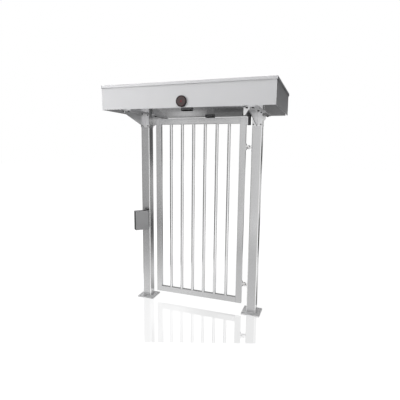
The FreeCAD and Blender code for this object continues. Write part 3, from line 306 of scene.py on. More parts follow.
# Mirrored in the fronts.
flag(
    "flag_front_left", (-4.5, -2.9, 0.0), (-1.2, -2.0, 2.8),
    (0.6, 0.57, 0.5, 0.42, 0.44, 0.56, 0.6, 0.6, 0.61, 0.61, *(0.62,) * 11),
)
flag("flag_front_dark", (-1.2, -2.6, 0.0), (-0.55, -2.72, 2.14), (0.2, 0.2))
flag(
    "flag_front_middle", (-0.55, -2.72, 0.0), (0.05, -2.85, 2.8),
    (0.85, 0.75, 0.8, 0.88),
)
flag(
    "flag_floor_front", (-3.4, -3.0, 0.01), (0.1, -0.4, 0.01),
    (0.6, 0.6, 0.6, 0.61, 0.64, 0.7, 0.78, 0.88, 1.0), flat=True,
)
flag(
    "flag_floor_near", (0.1, -4.0, 0.01), (0.75, -0.12, 0.01),
    (0.88, 0.8, 0.8, 0.82), flat=True,
)
# Mirrored in the left edges of the round bars and of the corners.
flag("flag_left", (-4.6, 0.6, 0.0), (-2.2, -2.2, 2.8), (0.05, 0.05))
flag("flag_left_behind", (-3.0, 3.6, 0.0), (-4.6, 0.6, 1.4), (0.12, 0.12, 0.2))
flag("flag_floor_left", (-3.6, -0.9, 0.011), (-1.4, 0.6, 0.011), (0.15, 0.15), flat=True)
flag("flag_floor_rear_left", (-4.4, 0.6, 0.011), (-0.75, 4.6, 0.011), (0.14, 0.12), flat=True)
# Mirrored in their right edges.
flag("flag_right_behind", (3.1, 5.4, 0.0), (3.4, 3.0, 0.9), (0.1, 0.1, 0.5))
flag("flag_right_side", (3.4, -0.5, 0.0), (3.4, 3.0, 2.6), (0.4, 0.4))
# Mirrored in the canopy's right end.
flag("flag_high_behind", (0.5, 3.6, 2.62), (7, 3.6, 6.5), (0.07, 0.07))
flag("flag_high_right", (3.4, 3.6, 2.62), (3.4, 0.0, 6.5), (0.07, 0.07))


# ---------------------------------------------------------------- posts and feet
# Two 100 mm square stainless tubes with a lengthwise brushed finish, each welded to a 10 mm foot
# plate. The foot plates are laser-cut, with four anchor holes, and the weld runs right round the
# tube.

# POST_ARRIS_HIGHLIGHT is a painted highlight: the lighter colour of the posts' rounded corners.
POST_COLOUR, POST_ARRIS_HIGHLIGHT = (0.58, 0.58, 0.585), (0.95, 0.95, 0.95)
FOOT_COLOUR, FOOT_ROUGHNESS, FOOT_METAL = (0.64, 0.64, 0.645), 0.6, 0.4
SCUFF_FROM, SCUFF_TO, SCUFF_ROUGHNESS = 0.02, 0.07, 0.4
ARRIS_HIGHLIGHT_FROM, ARRIS_HIGHLIGHT_TO = 0.08, 0.25
# UNDERSIDE_SHADE_SHARE makes the painted shade darker still on faces that look down.
BRUSH_STRETCH, UNDERSIDE_SHADE_SHARE = 0.012, 0.3
LEVEL_FROM, LEVEL_TO = 0.6, 0.8
NOISE_LOW, NOISE_HIGH = 0.3, 0.7


def new_finish(name, **values):
    """A material with its shader, whose plain values are set on the shader's own sockets."""
    material, tree = blank_finish(name)
    shader = node(tree, "BsdfPrincipled", inputs=values)
    show(tree, shader)
    return material, tree, shader


def grain(tree, scale, detail=3.0, soft=0.55, stretch=(1, 1, 1)):
    """Noise in the piece's own axes, drawn out along the axes where stretch is small."""
    size = node(tree, "Mapping", inputs={"Scale": stretch})
    link(tree, own_place(tree), size.inputs["Vector"])
    pattern = node(tree, "TexNoise", inputs={"Scale": scale, "Detail": detail, "Roughness": soft})
    link(tree, size.outputs["Vector"], pattern.inputs["Vector"])
    return pattern.outputs["Fac"]


def tint(tree, noise, dark, light, shader):
    """Let a noise vary the colour between two."""
    colour = graded(tree, noise, ((NOISE_LOW, dark), (NOISE_HIGH, light)))
    link(tree, colour, shader.inputs["Base Color"])


def roughen(tree, noise, low, high, shader):
    """Let a noise vary the roughness between two values."""
    link(tree, ranged(tree, noise, NOISE_LOW, NOISE_HIGH, low, high), shader.inputs["Roughness"])


def relief(tree, noise, depth, shader):
    """Lead a noise to the surface's fine relief; depth is in metres."""
    bump = node(tree, "Bump", inputs={"Strength": 1.0, "Distance": depth})
    link(tree, noise, bump.inputs["Height"])
    link(tree, bump.outputs["Normal"], shader.inputs["Normal"])


def grained(name, colour, vary, rough, depth, fine, clouds=None, **values):
    """A finish with a fine grain and soft clouds, each given by its noise's settings.

    The clouds, or the grain where there are none, vary the colour by a share of it either way.
    The grain takes the roughness between two values, and stands up by a depth in metres.
    """
    material, tree, shader = new_finish(name, **values)
    fine = grain(tree, **fine)
    clouds = grain(tree, **clouds) if clouds else fine
    darker, lighter = (tuple(min(1, c * share) for c in colour) for share in (1 - vary, 1 + vary))
    tint(tree, clouds, darker, lighter, shader)
    roughen(tree, fine, *rough, shader)
    relief(tree, fine, depth, shader)
    return material


def shader_of(material):
    """The shader of a finish."""
    return material.node_tree.nodes["Principled BSDF"]


def overlay(tree, share, colour, target):
    """Mix a plain colour over the one that a socket already receives."""
    made = node(tree, "Mix", data_type="RGBA")
    made.inputs["B"].default_value = (*colour, 1)
    link(tree, share, made.inputs["Factor"])
    link(tree, target.links[0].from_socket, made.inputs["A"])
    link(tree, made.outputs["Result"], target)


def paint_level_face_shade(material, colour, below_only=False):
    """Faces that look down, or up and down, take a darker colour, which is painted shade."""
    tree = material.node_tree
    up = parts_of(tree, own_facing(tree))["Z"]
    if below_only:
        level = calculated(tree, "MULTIPLY", up, -1.0)
    else:
        level = calculated(tree, "ABSOLUTE", up)
    share = ranged(tree, level, LEVEL_FROM, LEVEL_TO)
    overlay(tree, share, colour, shader_of(material).inputs["Base Color"])


def brushed_steel(name, colour, along, rough=0.22, depth=0.000004, level_shade=None):
    """Stainless steel brushed along one axis, with faint cloudy marks from handling."""
    stretch = [BRUSH_STRETCH if axis == along else 1 for axis in "xyz"]
    material = grained(
        name, colour, vary=0.035, rough=(rough - 0.05, rough + 0.06), depth=depth,
        fine={"scale": 900, "detail": 4.0, "stretch": stretch},
        clouds={"scale": 2.6, "detail": 4.0}, Metallic=1.0,
    )
    # Painted shade: faces that look up and down get a dark colour, and faces that look down a
    # darker one still.
    if level_shade:
        paint_level_face_shade(material, level_shade)
        paint_level_face_shade(material, tuple(c * UNDERSIDE_SHADE_SHARE for c in level_shade), below_only=True)
    return material


def satin_plate(name, colour, rough, underside=None, metal=1.0):
    """Laser-cut stainless plate, ground with a random orbital disc."""
    material = grained(
        name, colour, vary=0.05, rough=(rough - 0.06, rough + 0.08), depth=0.00002,
        fine={"scale": 420, "detail": 5.0, "soft": 0.6}, clouds={"scale": 7}, Metallic=metal,
    )
    # Painted shade: faces that look down take a darker colour.
    if underside:
        paint_level_face_shade(material, underside, below_only=True)
    return material


def give(material, *names):
    """Put a finish on CAD nodes, through their objects' own slots."""
    for name in names:
        piece = nodes[name]
        if not piece.material_slots:
            piece.data.materials.append(None)
        for held in piece.material_slots:
            held.link = "OBJECT"
            held.material = material


# The rounded corners take a lighter colour than the flats, a painted highlight along the arrises;
# mops and shoes scuff the foot.
post_steel = brushed_steel("post_brushed", POST_COLOUR, "z")
tree, sockets = post_steel.node_tree, shader_of(post_steel).inputs
facing = parts_of(tree, own_facing(tree))
slant = calculated(tree, "ABSOLUTE", calculated(tree, "MULTIPLY", facing["X"], facing["Y"]))
corner = ranged(tree, slant, ARRIS_HIGHLIGHT_FROM, ARRIS_HIGHLIGHT_TO)
# Painted highlight: the rounded corners are coloured lighter than the flats.
overlay(tree, corner, POST_ARRIS_HIGHLIGHT, sockets["Base Color"])
height = parts_of(tree, own_place(tree))["Z"]
scuff = ranged(tree, height, SCUFF_FROM, SCUFF_TO, low=SCUFF_ROUGHNESS, high=0.0)
brushed = sockets["Roughness"].links[0].from_socket
link(tree, calculated(tree, "ADD", brushed, scuff), sockets["Roughness"])
give(post_steel, "left_post", "right_post")
give(
    satin_plate("foot_satin", FOOT_COLOUR, FOOT_ROUGHNESS, metal=FOOT_METAL),
    "left_base_plate", "right_base_plate",
)


def clear_selection():
    """Leave edit mode with nothing selected."""
    if bpy.context.mode != "OBJECT":
        bpy.ops.object.mode_set(mode="OBJECT")
    bpy.ops.object.select_all(action="DESELECT")


def alone(piece):
    """Select one piece and nothing else."""
    clear_selection()
    piece.select_set(True)
    bpy.context.view_layer.objects.active = piece


def pick(piece, kind, test):
    """Edit a piece with only the faces or edges selected whose middle and direction pass a test."""
    alone(piece)
    bpy.ops.object.mode_set(mode="EDIT")
    bpy.ops.mesh.select_mode(type=kind)
    bpy.ops.mesh.select_all(action="DESELECT")
    bpy.ops.object.mode_set(mode="OBJECT")
    mesh = piece.data
    if kind == "FACE":
        for face in mesh.polygons:
            face.select = test(face.center, face.normal)
    else:
        for edge in mesh.edges:
            first, second = (mesh.vertices[number].co for number in edge.vertices)
            edge.select = test((first + second) / 2, (second - first).normalized())
    bpy.ops.object.mode_set(mode="EDIT")


def apply_newest(piece):
    """Make the piece's last modifier part of its mesh."""
    alone(piece)
    bpy.ops.object.modifier_apply(modifier=piece.modifiers[-1].name)


def settle(piece):
    """Put a piece's place, turn and scale into its mesh."""
    alone(piece)
    bpy.ops.object.transform_apply(location=True, rotation=True, scale=True)


def smooth(piece, degrees=38):
    """Shade a piece smooth, apart from the edges that turn by more than an angle."""
    alone(piece)
    bpy.ops.object.shade_smooth_by_angle(angle=math.radians(degrees))


def soften(piece, width, segments=3, degrees=35):
    """Round every edge of a piece that turns by more than an angle, and shade it."""
    round_off = piece.modifiers.new("round_off", "BEVEL")
    round_off.width = width
    round_off.segments = segments
    round_off.angle_limit = math.radians(degrees)
    apply_newest(piece)
    smooth(piece)


def fresh_block(low, high):
    """A block between two corners, as the start of a piece."""
    clear_selection()
    low, high = Vector(low), Vector(high)
    bpy.ops.mesh.primitive_cube_add(size=1, location=(low + high) / 2, scale=high - low)
    piece = bpy.context.object
    settle(piece)
    return piece


def fresh_rod(foot, radius, length, direction=(0, 0, 1), sides=64):
    """A round bar from its foot along a direction, as the start of a piece."""
    clear_selection()
    bpy.ops.mesh.primitive_cylinder_add(vertices=sides, radius=radius, depth=length)
    piece = bpy.context.object
    turn = Vector((0, 0, 1)).rotation_difference(Vector(direction)).to_matrix().to_4x4()
    piece.matrix_world = Matrix.Translation(Vector(foot) + Vector(direction) * length / 2) @ turn
    settle(piece)
    return piece


def copy_of(piece):
    """Another piece with its own mesh."""
    other = piece.copy()
    other.data = piece.data.copy()
    bpy.context.scene.collection.objects.link(other)
    return other


def joined(pieces):
    """Make several meshes one."""
    clear_selection()
    for piece in pieces:
        piece.select_set(True)
    bpy.context.view_layer.objects.active = pieces[0]
    bpy.ops.object.join()
    return pieces[0]


def finished(piece, name, material, body, slot, *stood_for):
    """Name a piece, put its place into its mesh, give it its finish and let it ride."""
    settle(piece)
    piece.name = name
    piece.data.name = name
    piece.data.materials.clear()
    piece.data.materials.append(material)
    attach(piece, body)
    if stood_for:
        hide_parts(*stood_for)


# One ripple of a weld bead lies along X, in the corner between a wall that faces Y and a plate
# that faces Z, and bites a little into both.
RIPPLE_STEP, RIPPLE_SIZE, RIPPLE_BITE = 0.0032, (0.0032, 0.0042, 0.0042), 0.0003
WELD_DARK, WELD_LIGHT = (0.56, 0.55, 0.54), (0.76, 0.76, 0.77)
WELD_SMOOTH, WELD_ROUGH, WELD_RELIEF = 0.24, 0.4, 0.00002
clear_selection()
bpy.ops.mesh.primitive_uv_sphere_add(segments=12, ring_count=8, radius=1)
ripple = bpy.context.object
ripple.scale = RIPPLE_SIZE
settle(ripple)
for side in ((0, 1, 0), (0, 0, 1)):
    pick(ripple, "FACE", lambda middle, normal: True)
    bpy.ops.mesh.bisect(
        plane_co=Vector(side) * -RIPPLE_BITE, plane_no=side, use_fill=True, clear_inner=True,
    )
smooth(ripple, 60)
weld_bead, tree, shader = new_finish("weld_bead", Metallic=1.0)
heat = grain(tree, scale=90)
tint(tree, heat, WELD_DARK, WELD_LIGHT, shader)
roughen(tree, heat, WELD_SMOOTH, WELD_ROUGH, shader)
relief(tree, grain(tree, scale=1500), WELD_RELIEF, shader)


def weld_run(start, along, wall, up, length, size):
    """A straight fillet weld: the ripple repeated along a corner that faces wall and up.

    The three directions make a right-handed set, or the bead would turn inside out.
    """
    bead = copy_of(ripple)
    repeat = bead.modifiers.new("repeat", "ARRAY")
    repeat.use_relative_offset = False
    repeat.use_constant_offset = True
    repeat.constant_offset_displace = (RIPPLE_STEP, 0, 0)
    repeat.count = max(2, int(length / (RIPPLE_STEP * size)))
    apply_newest(bead)
    axes = Matrix([Vector(axis) * size for axis in (along, wall, up)]).transposed().to_4x4()
    bead.matrix_world = Matrix.Translation(start) @ axes
    settle(bead)
    return bead


def weld_ring(middle, radius, size, hanging=False):
    """A weld right round a bar that meets a flat face: the ripple spun about the bar's axis."""
    bead = copy_of(ripple)
    bead.matrix_world = Matrix.Translation((0, radius, 0)) @ Matrix.Scale(size, 4)
    settle(bead)
    count = int(2 * math.pi * radius / (RIPPLE_STEP * size))
    pick(bead, "FACE", lambda place, normal: True)
    bpy.ops.mesh.spin(
        steps=count - 1, dupli=True, angle=2 * math.pi * (count - 1) / count,
        center=(0, 0, 0), axis=(0, 0, 1),
    )
    turn = Matrix.Rotation(math.pi if hanging else 0, 4, "X")
    clear_selection()
    bead.matrix_world = Matrix.Translation(middle) @ turn
    settle(bead)
    return bead


FOOT_WELD_SIZE, FOOT_WELD_INSET = 0.7, 0.009
runs = []
for side in ("left", "right"):
    low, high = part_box(f"{side}_post")
    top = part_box(f"{side}_base_plate")[1].z
    near, far = FOOT_WELD_INSET, high.x - low.x - FOOT_WELD_INSET
    for start_x, start_y, along, wall in (
        (far, 0, (-1, 0, 0), (0, -1, 0)),
        (high.x - low.x, far, (0, -1, 0), (1, 0, 0)),
        (near, high.y - low.y, (1, 0, 0), (0, 1, 0)),
        (0, near, (0, 1, 0), (-1, 0, 0)),
    ):
        start = (low.x + start_x, low.y + start_y, top)
        runs.append(weld_run(start, along, wall, (0, 0, 1), far - near, FOOT_WELD_SIZE))
finished(joined(runs), "foot_welds", weld_bead, "frame", "stainless_post")


# ---------------------------------------------------------------- T-brackets and stops
# Laser-cut stainless plates welded into a T carry the canopy on the front and rear of each post:
# a back flange screwed to the post, a sloping web and a top flange screwed to the canopy. Each stop
# is a small plate beside a right-hand bracket, with a moulded rubber buffer.

# PLATE_UNDERSIDE_SHADE is painted shade on the faces that look down.
PLATE_COLOUR, PLATE_ROUGHNESS, PLATE_UNDERSIDE_SHADE = (0.8, 0.8, 0.805), 0.34, (0.4, 0.4, 0.405)
FASTENER_COLOUR = (0.016, 0.016, 0.017)
WEB_HALF, TOP_FLANGE, BACK_FLANGE = 0.004, 0.008, 0.006
STITCHES, FIRST_STITCH, STITCH_PITCH, STITCH = 4, 0.035, 0.105, 0.06
UPRIGHT_WELD, WELD_ABOVE_FOOT, WELD_BELOW_TOP = 0.13, 0.004, 0.006
BRACKET_WELD_SIZE = 0.8
brackets = ("front_left_bracket", "front_right_bracket", "rear_left_bracket", "rear_right_bracket")

# The plates' downward faces carry painted shade.
plate_steel = satin_plate("plate_satin", PLATE_COLOUR, PLATE_ROUGHNESS, PLATE_UNDERSIDE_SHADE)
give(
    plate_steel, *brackets, "stop_plates", "post_lugs", "leaf_lugs", "drive_saddle",
    "reader_bracket",
)


def dark_steel(name, colour, rough, metal):
    """Blackened steel with a slightly worn, uneven coat."""
    return grained(
        name, colour, vary=0.35, rough=(rough - 0.08, rough + 0.12), depth=0.00002,
        fine={"scale": 260, "detail": 4.0, "soft": 0.65}, Metallic=metal,
    )


give(
    dark_steel("fastener_black", FASTENER_COLOUR, rough=0.5, metal=0.3),
    "post_screws", "frame_bolts", "leaf_screws", "drive_screws", "canopy_screws",
)

runs = []
for name in brackets:
    low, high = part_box(name)
    middle = (low.x + high.x) / 2
    out = -1 if name.startswith("front") else 1
    post_side = high.y if out < 0 else low.y
    under = high.z - TOP_FLANGE
    for side in (-1, 1):
        web, wall = middle + side * WEB_HALF, (side, 0, 0)
        outwards = side * out > 0
        for number in range(STITCHES):
            near = post_side + out * (FIRST_STITCH + number * STITCH_PITCH)
            if outwards:
                start, along = (web, near, under), (0, out, 0)
            else:
                start, along = (web, near + out * STITCH, under), (0, -out, 0)
            runs.append(weld_run(start, along, wall, (0, 0, -1), STITCH, BRACKET_WELD_SIZE))
        back = post_side + out * BACK_FLANGE
        if outwards:
            start, along = (web, back, low.z + WELD_ABOVE_FOOT), (0, 0, 1)
        else:
            start, along = (web, back, under - WELD_BELOW_TOP), (0, 0, -1)
        runs.append(weld_run(start, along, wall, (0, out, 0), UPRIGHT_WELD, BRACKET_WELD_SIZE))
finished(joined(runs), "bracket_welds", weld_bead, "frame", "stainless_plate")

RUBBER_COLOUR, RUBBER_VARIES = (0.018, 0.018, 0.018), 1 / 3
BUFFER_DOME, BUFFER_EDGE = 0.0065, 0.0006
TOUCH = 0.0005
rubber = grained(
    "buffer_rubber", RUBBER_COLOUR, RUBBER_VARIES, rough=(0.62, 0.8), depth=0.00003,
    fine={"scale": 500}, Metallic=0.0,
)
low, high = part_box("stop_buffers")
radius = (high.z - low.z) / 2
buffers = []
for place_y in (low.y + radius, high.y - radius):
    foot = (high.x, place_y, high.z - radius)
    buffer = fresh_rod(foot, radius, high.x - low.x, (-1, 0, 0), sides=32)
    pick(buffer, "EDGE", lambda middle, way: abs(middle.x - low.x) < TOUCH)
    bpy.ops.mesh.bevel(offset=BUFFER_DOME, segments=6, profile=0.5)
    pick(buffer, "EDGE", lambda middle, way: abs(middle.x - high.x) < TOUCH)
    bpy.ops.mesh.bevel(offset=BUFFER_EDGE, segments=2)
    smooth(buffer, 40)
    buffers.append(buffer)
finished(joined(buffers), "domed_buffers", rubber, "frame", "buffer_rubber", "stop_buffers")


# ---------------------------------------------------------------- canopy sheets
# Folded 2 mm sheet with a silver-grey textured powder coat: fascias, ends and a lid whose edge is
# bent down all round. The tray underneath is bare mill-finished stainless sheet.

COAT_COLOUR, PAN_COLOUR = (0.65, 0.65, 0.66), (0.52, 0.52, 0.54)
PAN_ROUGHNESS, PAN_RELIEF = 0.1, 0.000002
SHEET, LID_CORNER, LID_FOLD = 0.002, 0.005, 0.0035
# How much of its direction an edge or a face has along an axis to count as following or facing
# it, and how little to count as square to it.
ALONG_AXIS, SQUARE_TO_AXIS = 0.9, 0.1

canopy_steel = grained(
    "canopy_coat", COAT_COLOUR, vary=0.025, rough=(0.45, 0.57), depth=0.00002,
    fine={"scale": 1400}, clouds={"scale": 1.8, "detail": 4.0},
    **{"Metallic": 0.1, "Specular IOR Level": 0.15},
)
give(
    canopy_steel, "canopy_front_fascia", "canopy_rear_fascia",
    "canopy_left_end", "canopy_right_end",
)

low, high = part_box("canopy_lid")
lid = fresh_block(low, high)
pick(lid, "FACE", lambda middle, normal: normal.z < -ALONG_AXIS)
bpy.ops.mesh.delete(type="FACE")
pick(lid, "EDGE", lambda middle, way: abs(way.z) > ALONG_AXIS)
bpy.ops.mesh.bevel(offset=LID_CORNER, segments=4)
pick(lid, "EDGE", lambda middle, way: abs(way.z) < SQUARE_TO_AXIS and middle.z > high.z - TOUCH)
bpy.ops.mesh.bevel(offset=LID_FOLD, segments=4)
alone(lid)
wall = lid.modifiers.new("wall", "SOLIDIFY")
wall.thickness = SHEET
wall.offset = -1
apply_newest(lid)
smooth(lid)
finished(lid, "folded_lid", canopy_steel, "frame", "canopy_sheet", "canopy_lid")
give(brushed_steel("pan_mill_finish", PAN_COLOUR, "x", PAN_ROUGHNESS, PAN_RELIEF), "canopy_pan")


# ---------------------------------------------------------------- canopy frame
# Mild-steel tubes cross the canopy out of sight, and carry it and the drive's thick plate.
# They are cut, drilled, sprayed with grey primer and bolted together.

def primer(name, colour):
    """Sprayed matt primer with a light orange-peel surface."""
    return grained(
        name, colour, vary=0.08, rough=(0.5, 0.66), depth=0.00008,
        fine={"scale": 240}, clouds={"scale": 5}, Metallic=0.0,
    )


give(primer("frame_primer", (0.34, 0.35, 0.36)), "cross_members", "drive_beams", "drive_plate")


# ---------------------------------------------------------------- drive
# A worm gear motor turns the leaf's steel shaft through a pinion and gear, in two ball bearings.
# A solenoid pin locks a notched disc on the shaft, and a split hub, blackened and held by two
# screws, clamps the leaf's spigot to it.

BLACK_OXIDE = (0.07, 0.07, 0.073)
HUB_EDGE, HUB_BORE, BORE_LENGTH, HUB_SLOT_HALF, PAST = 0.0016, 0.0152, 0.07, 0.0012, 0.01
SCREW_HEIGHTS, SCREW_LEFT, SCREW_FRONT = (0.0105, 0.0295), 0.0235, 0.0185
COUNTERBORE_RADIUS, COUNTERBORE_LENGTH, COUNTERBORE_OUT = 0.0056, 0.0335, 0.02
HEAD_RADIUS, HEAD_LENGTH, HEAD_IN, HEAD_EDGE = 0.005, 0.0055, 0.0125, 0.0004
SOCKET_RADIUS, SOCKET_DEPTH = 0.0029, 0.01

give(
    satin_plate("machined_steel", (0.52, 0.52, 0.53), rough=0.3),
    "output_shaft", "driven_gear", "pinion", "lock_disc", "lock_plunger", "hinge_pins",
)
give(satin_plate("bearing_steel", (0.6, 0.6, 0.61), rough=0.16), "shaft_bearings")
give(satin_plate("sintered_bronze", (0.5, 0.33, 0.15), rough=0.42), "hinge_bushes")
black_oxide = dark_steel("black_oxide", BLACK_OXIDE, rough=0.36, metal=0.6)
give(black_oxide, "drive_spigot")


def carve(piece, cutter):
    """Cut one shape out of a piece."""
    cutting = piece.modifiers.new("carve", "BOOLEAN")
    cutting.operation = "DIFFERENCE"
    cutting.solver = "EXACT"
    cutting.object = cutter
    apply_newest(piece)
    bpy.data.objects.remove(cutter)


low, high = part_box("coupling_hub")
middle = (low + high) / 2
radius = (high.x - low.x) / 2
hub = fresh_rod((middle.x, middle.y, low.z), radius, high.z - low.z)
soften(hub, HUB_EDGE)
carve(hub, fresh_rod((middle.x, middle.y, low.z - PAST), HUB_BORE, BORE_LENGTH))
carve(hub, fresh_block(
    (middle.x - HUB_SLOT_HALF, low.y - PAST, low.z - PAST),
    (middle.x + HUB_SLOT_HALF, middle.y, high.z + PAST),
))
heads = []
for height in SCREW_HEIGHTS:
    seat = Vector((middle.x - SCREW_LEFT, middle.y - SCREW_FRONT, low.z + height))
    foot = seat - Vector((COUNTERBORE_OUT, 0, 0))
    carve(hub, fresh_rod(foot, COUNTERBORE_RADIUS, COUNTERBORE_LENGTH, (1, 0, 0), sides=32))
    foot = seat + Vector((HEAD_IN, 0, 0))
    head = fresh_rod(foot, HEAD_RADIUS, HEAD_LENGTH, (-1, 0, 0), sides=32)
    soften(head, HEAD_EDGE, segments=2)
    carve(head, fresh_rod(seat, SOCKET_RADIUS, SOCKET_DEPTH, (1, 0, 0), sides=6))
    heads.append(head)
finished(joined([hub, *heads]), "clamp_hub", black_oxide, "leaf", "black_oxide", "coupling_hub")
give(satin_plate("cast_aluminium", (0.5, 0.51, 0.52), rough=0.5), "bearing_housing", "gearbox")
give(primer("motor_enamel", (0.1, 0.11, 0.13)), "motor")
give(satin_plate("zinc_plate", (0.42, 0.42, 0.44), rough=0.34), "lock_solenoid")


def moulded(name, colour, rough, shine=0.4):
    """Injection-moulded plastic with a fine spark-eroded texture."""
    return grained(
        name, colour, vary=0.06, rough=(rough - 0.05, rough + 0.08), depth=0.00004,
        fine={"scale": 700}, **{"Metallic": 0.0, "Specular IOR Level": shine},
    )


give(moulded("controller_plastic", (0.7, 0.71, 0.7), rough=0.5), "counter_controller")
give(satin_plate("supply_sheet", (0.58, 0.59, 0.6), rough=0.4), "power_supply")


# ---------------------------------------------------------------- leaf
# A welded frame of 65 by 32 mm stainless tube, with six round bars between its rails.
# Frame and bars are brushed along each tube, and the bars finer, before they are welded in.

# RAIL_LEVEL_SHADE is painted shade for the rails' top and bottom faces.
LEAF_COLOUR, RAIL_LEVEL_SHADE = (0.62, 0.62, 0.625), (0.17, 0.17, 0.172)
BAR_COLOUR, BAR_ROUGHNESS, BAR_RELIEF = (0.77, 0.77, 0.775), 0.1, 0.000002
BARS, BAR_WELD_SIZE, BAR_WELD_BITE = 6, 0.55, 0.0002
SPIGOT_WELD_RADIUS, SPIGOT_WELD_SIZE = 0.0169, 0.5

leaf_steel_up = brushed_steel("leaf_brushed_up", LEAF_COLOUR, "z")
# Painted shade: the rails' top and bottom faces are coloured dark.
leaf_steel_across = brushed_steel("leaf_brushed_across", LEAF_COLOUR, "x", level_shade=RAIL_LEVEL_SHADE)
bar_steel = brushed_steel("bar_polished", BAR_COLOUR, "z", BAR_ROUGHNESS, BAR_RELIEF)
give(leaf_steel_up, "left_stile", "right_stile", "stile_caps")
give(bar_steel, "leaf_bars")
give(leaf_steel_across, "top_rail", "bottom_rail")

rings = []
top_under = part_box("top_rail")[0].z
bottom_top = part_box("bottom_rail")[1].z
low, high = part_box("leaf_bars")
radius = (high.y - low.y) / 2
for number in range(BARS):
    bar_x = low.x + radius + number * (high.x - low.x - 2 * radius) / (BARS - 1)
    for height, hanging in ((bottom_top, False), (top_under, True)):
        middle = (bar_x, 0, height)
        rings.append(weld_ring(middle, radius - BAR_WELD_BITE, BAR_WELD_SIZE, hanging))
low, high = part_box("drive_spigot")
middle = ((low.x + high.x) / 2, 0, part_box("drive_saddle")[1].z)
rings.append(weld_ring(middle, SPIGOT_WELD_RADIUS, SPIGOT_WELD_SIZE))
finished(joined(rings), "leaf_welds", weld_bead, "leaf", "stainless_leaf")
bpy.data.objects.remove(ripple)


# ---------------------------------------------------------------- indicator
# A round light on the front fascia: a moulded black bezel clamps a smoked polycarbonate lens, and
# a ring of small red diodes behind it hardly shows while they are off.

FASCIA_FACE = -0.508
BEZEL_RADIUS, BEZEL_DEPTH, BEZEL_RIM, BEZEL_STEP, BEZEL_WELL = 0.053, 0.016, 0.0048, 0.0002, 0.014
NECK_INSET, NECK_LENGTH, BEZEL_EDGE = 0.0265, 0.026, 0.0016
LENS_RADIUS, LENS_SHORT, LENS_RINGS, LENS_RISE = 0.0478, 0.0006, (0.0025, 0.005, 0.009, 0.012), 0.02
# The lens's colour runs from faint red in the middle through smoked grey to near black at its rim.
LENS_ZONES = (
    (0.0, (0.2, 0.03, 0.045)), (0.13, (0.16, 0.03, 0.04)), (0.22, (0.07, 0.058, 0.056)),
    (0.78, (0.075, 0.066, 0.064)), (0.9, (0.02, 0.018, 0.018)), (1.0, (0.012, 0.012, 0.012)),
)
LENS_REACH, LENS_WAVE = 0.05, 0.00004
DIODE_COLOUR, DIODES_PER_METRE, DIODE_SHARE = (0.15, 0.03, 0.04), 70.0, 0.55
DIODE_SCATTER, DIODE_CORE, DIODE_EDGE = 0.1, 0.2, 0.34

black_plastic = moulded("black_plastic", (0.018, 0.018, 0.02), rough=0.5, shine=0.2)
low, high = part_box("indicator_housing")
middle = (low + high) / 2
foot = (middle.x, FASCIA_FACE, middle.z)
bezel = fresh_rod(foot, BEZEL_RADIUS, BEZEL_DEPTH, (0, -1, 0), sides=96)
pick(bezel, "FACE", lambda place, normal: normal.y < -ALONG_AXIS)
bpy.ops.mesh.inset(thickness=BEZEL_RIM, depth=0)
bpy.ops.mesh.inset(thickness=BEZEL_STEP, depth=-BEZEL_WELL)
pick(bezel, "FACE", lambda place, normal: normal.y > ALONG_AXIS)
bpy.ops.mesh.inset(thickness=NECK_INSET, depth=0)
bpy.ops.mesh.extrude_region_move(TRANSFORM_OT_translate={"value": (0, NECK_LENGTH, 0)})
soften(bezel, BEZEL_EDGE)
finished(bezel, "indicator_bezel", black_plastic, "frame", "black_plastic", "indicator_housing")

lens, tree, shader = new_finish(
    "smoked_lens", **{"Metallic": 0.0, "Roughness": 0.2, "Specular IOR Level": 0.25},
)
low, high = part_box("indicator_lens")
middle = (low + high) / 2
centred = node(tree, "Mapping", inputs={"Location": -middle})
link(tree, own_place(tree), centred.inputs["Vector"])
zones = ranged(tree, distance_out(tree, centred.outputs["Vector"]), 0.0, LENS_REACH)
link(tree, graded(tree, zones, LENS_ZONES), shader.inputs["Base Color"])
diodes = node(tree, "TexVoronoi", inputs={"Scale": DIODES_PER_METRE, "Randomness": DIODE_SCATTER})
link(tree, centred.outputs["Vector"], diodes.inputs["Vector"])
dots = ranged(tree, diodes.outputs["Distance"], DIODE_CORE, DIODE_EDGE, DIODE_SHARE, 0.0)
overlay(tree, dots, DIODE_COLOUR, shader.inputs["Base Color"])
relief(tree, grain(tree, scale=40, detail=2.0), LENS_WAVE, shader)
depth = high.y - low.y - LENS_SHORT
glass = fresh_rod((middle.x, high.y, middle.z), LENS_RADIUS, depth, (0, -1, 0), sides=96)
pick(glass, "FACE", lambda place, normal: normal.y < -ALONG_AXIS)
for step in LENS_RINGS:
    bpy.ops.mesh.inset(thickness=step, depth=step * LENS_RISE)
smooth(glass, 30)
finished(glass, "indicator_glass", lens, "frame", "dark_lens", "indicator_lens")


# ---------------------------------------------------------------- presence sensors
# Two slim sensors screwed under the canopy, one on each side of the leaf.
# Each is a moulded dark-grey base with a black infrared cap clipped over it.

CAP_TOP, BASE_FOOT, BASE_INSET = 0.0082, 0.0085, 0.0005
BASE_LIP, BASE_LIP_HEIGHT, SENSOR_EDGE = 0.002, 0.0015, 0.0012
CAP_CORNER, CAP_RIM, CAP_STEP, CAP_PANEL = 0.006, 0.004, 0.003, 0.0006

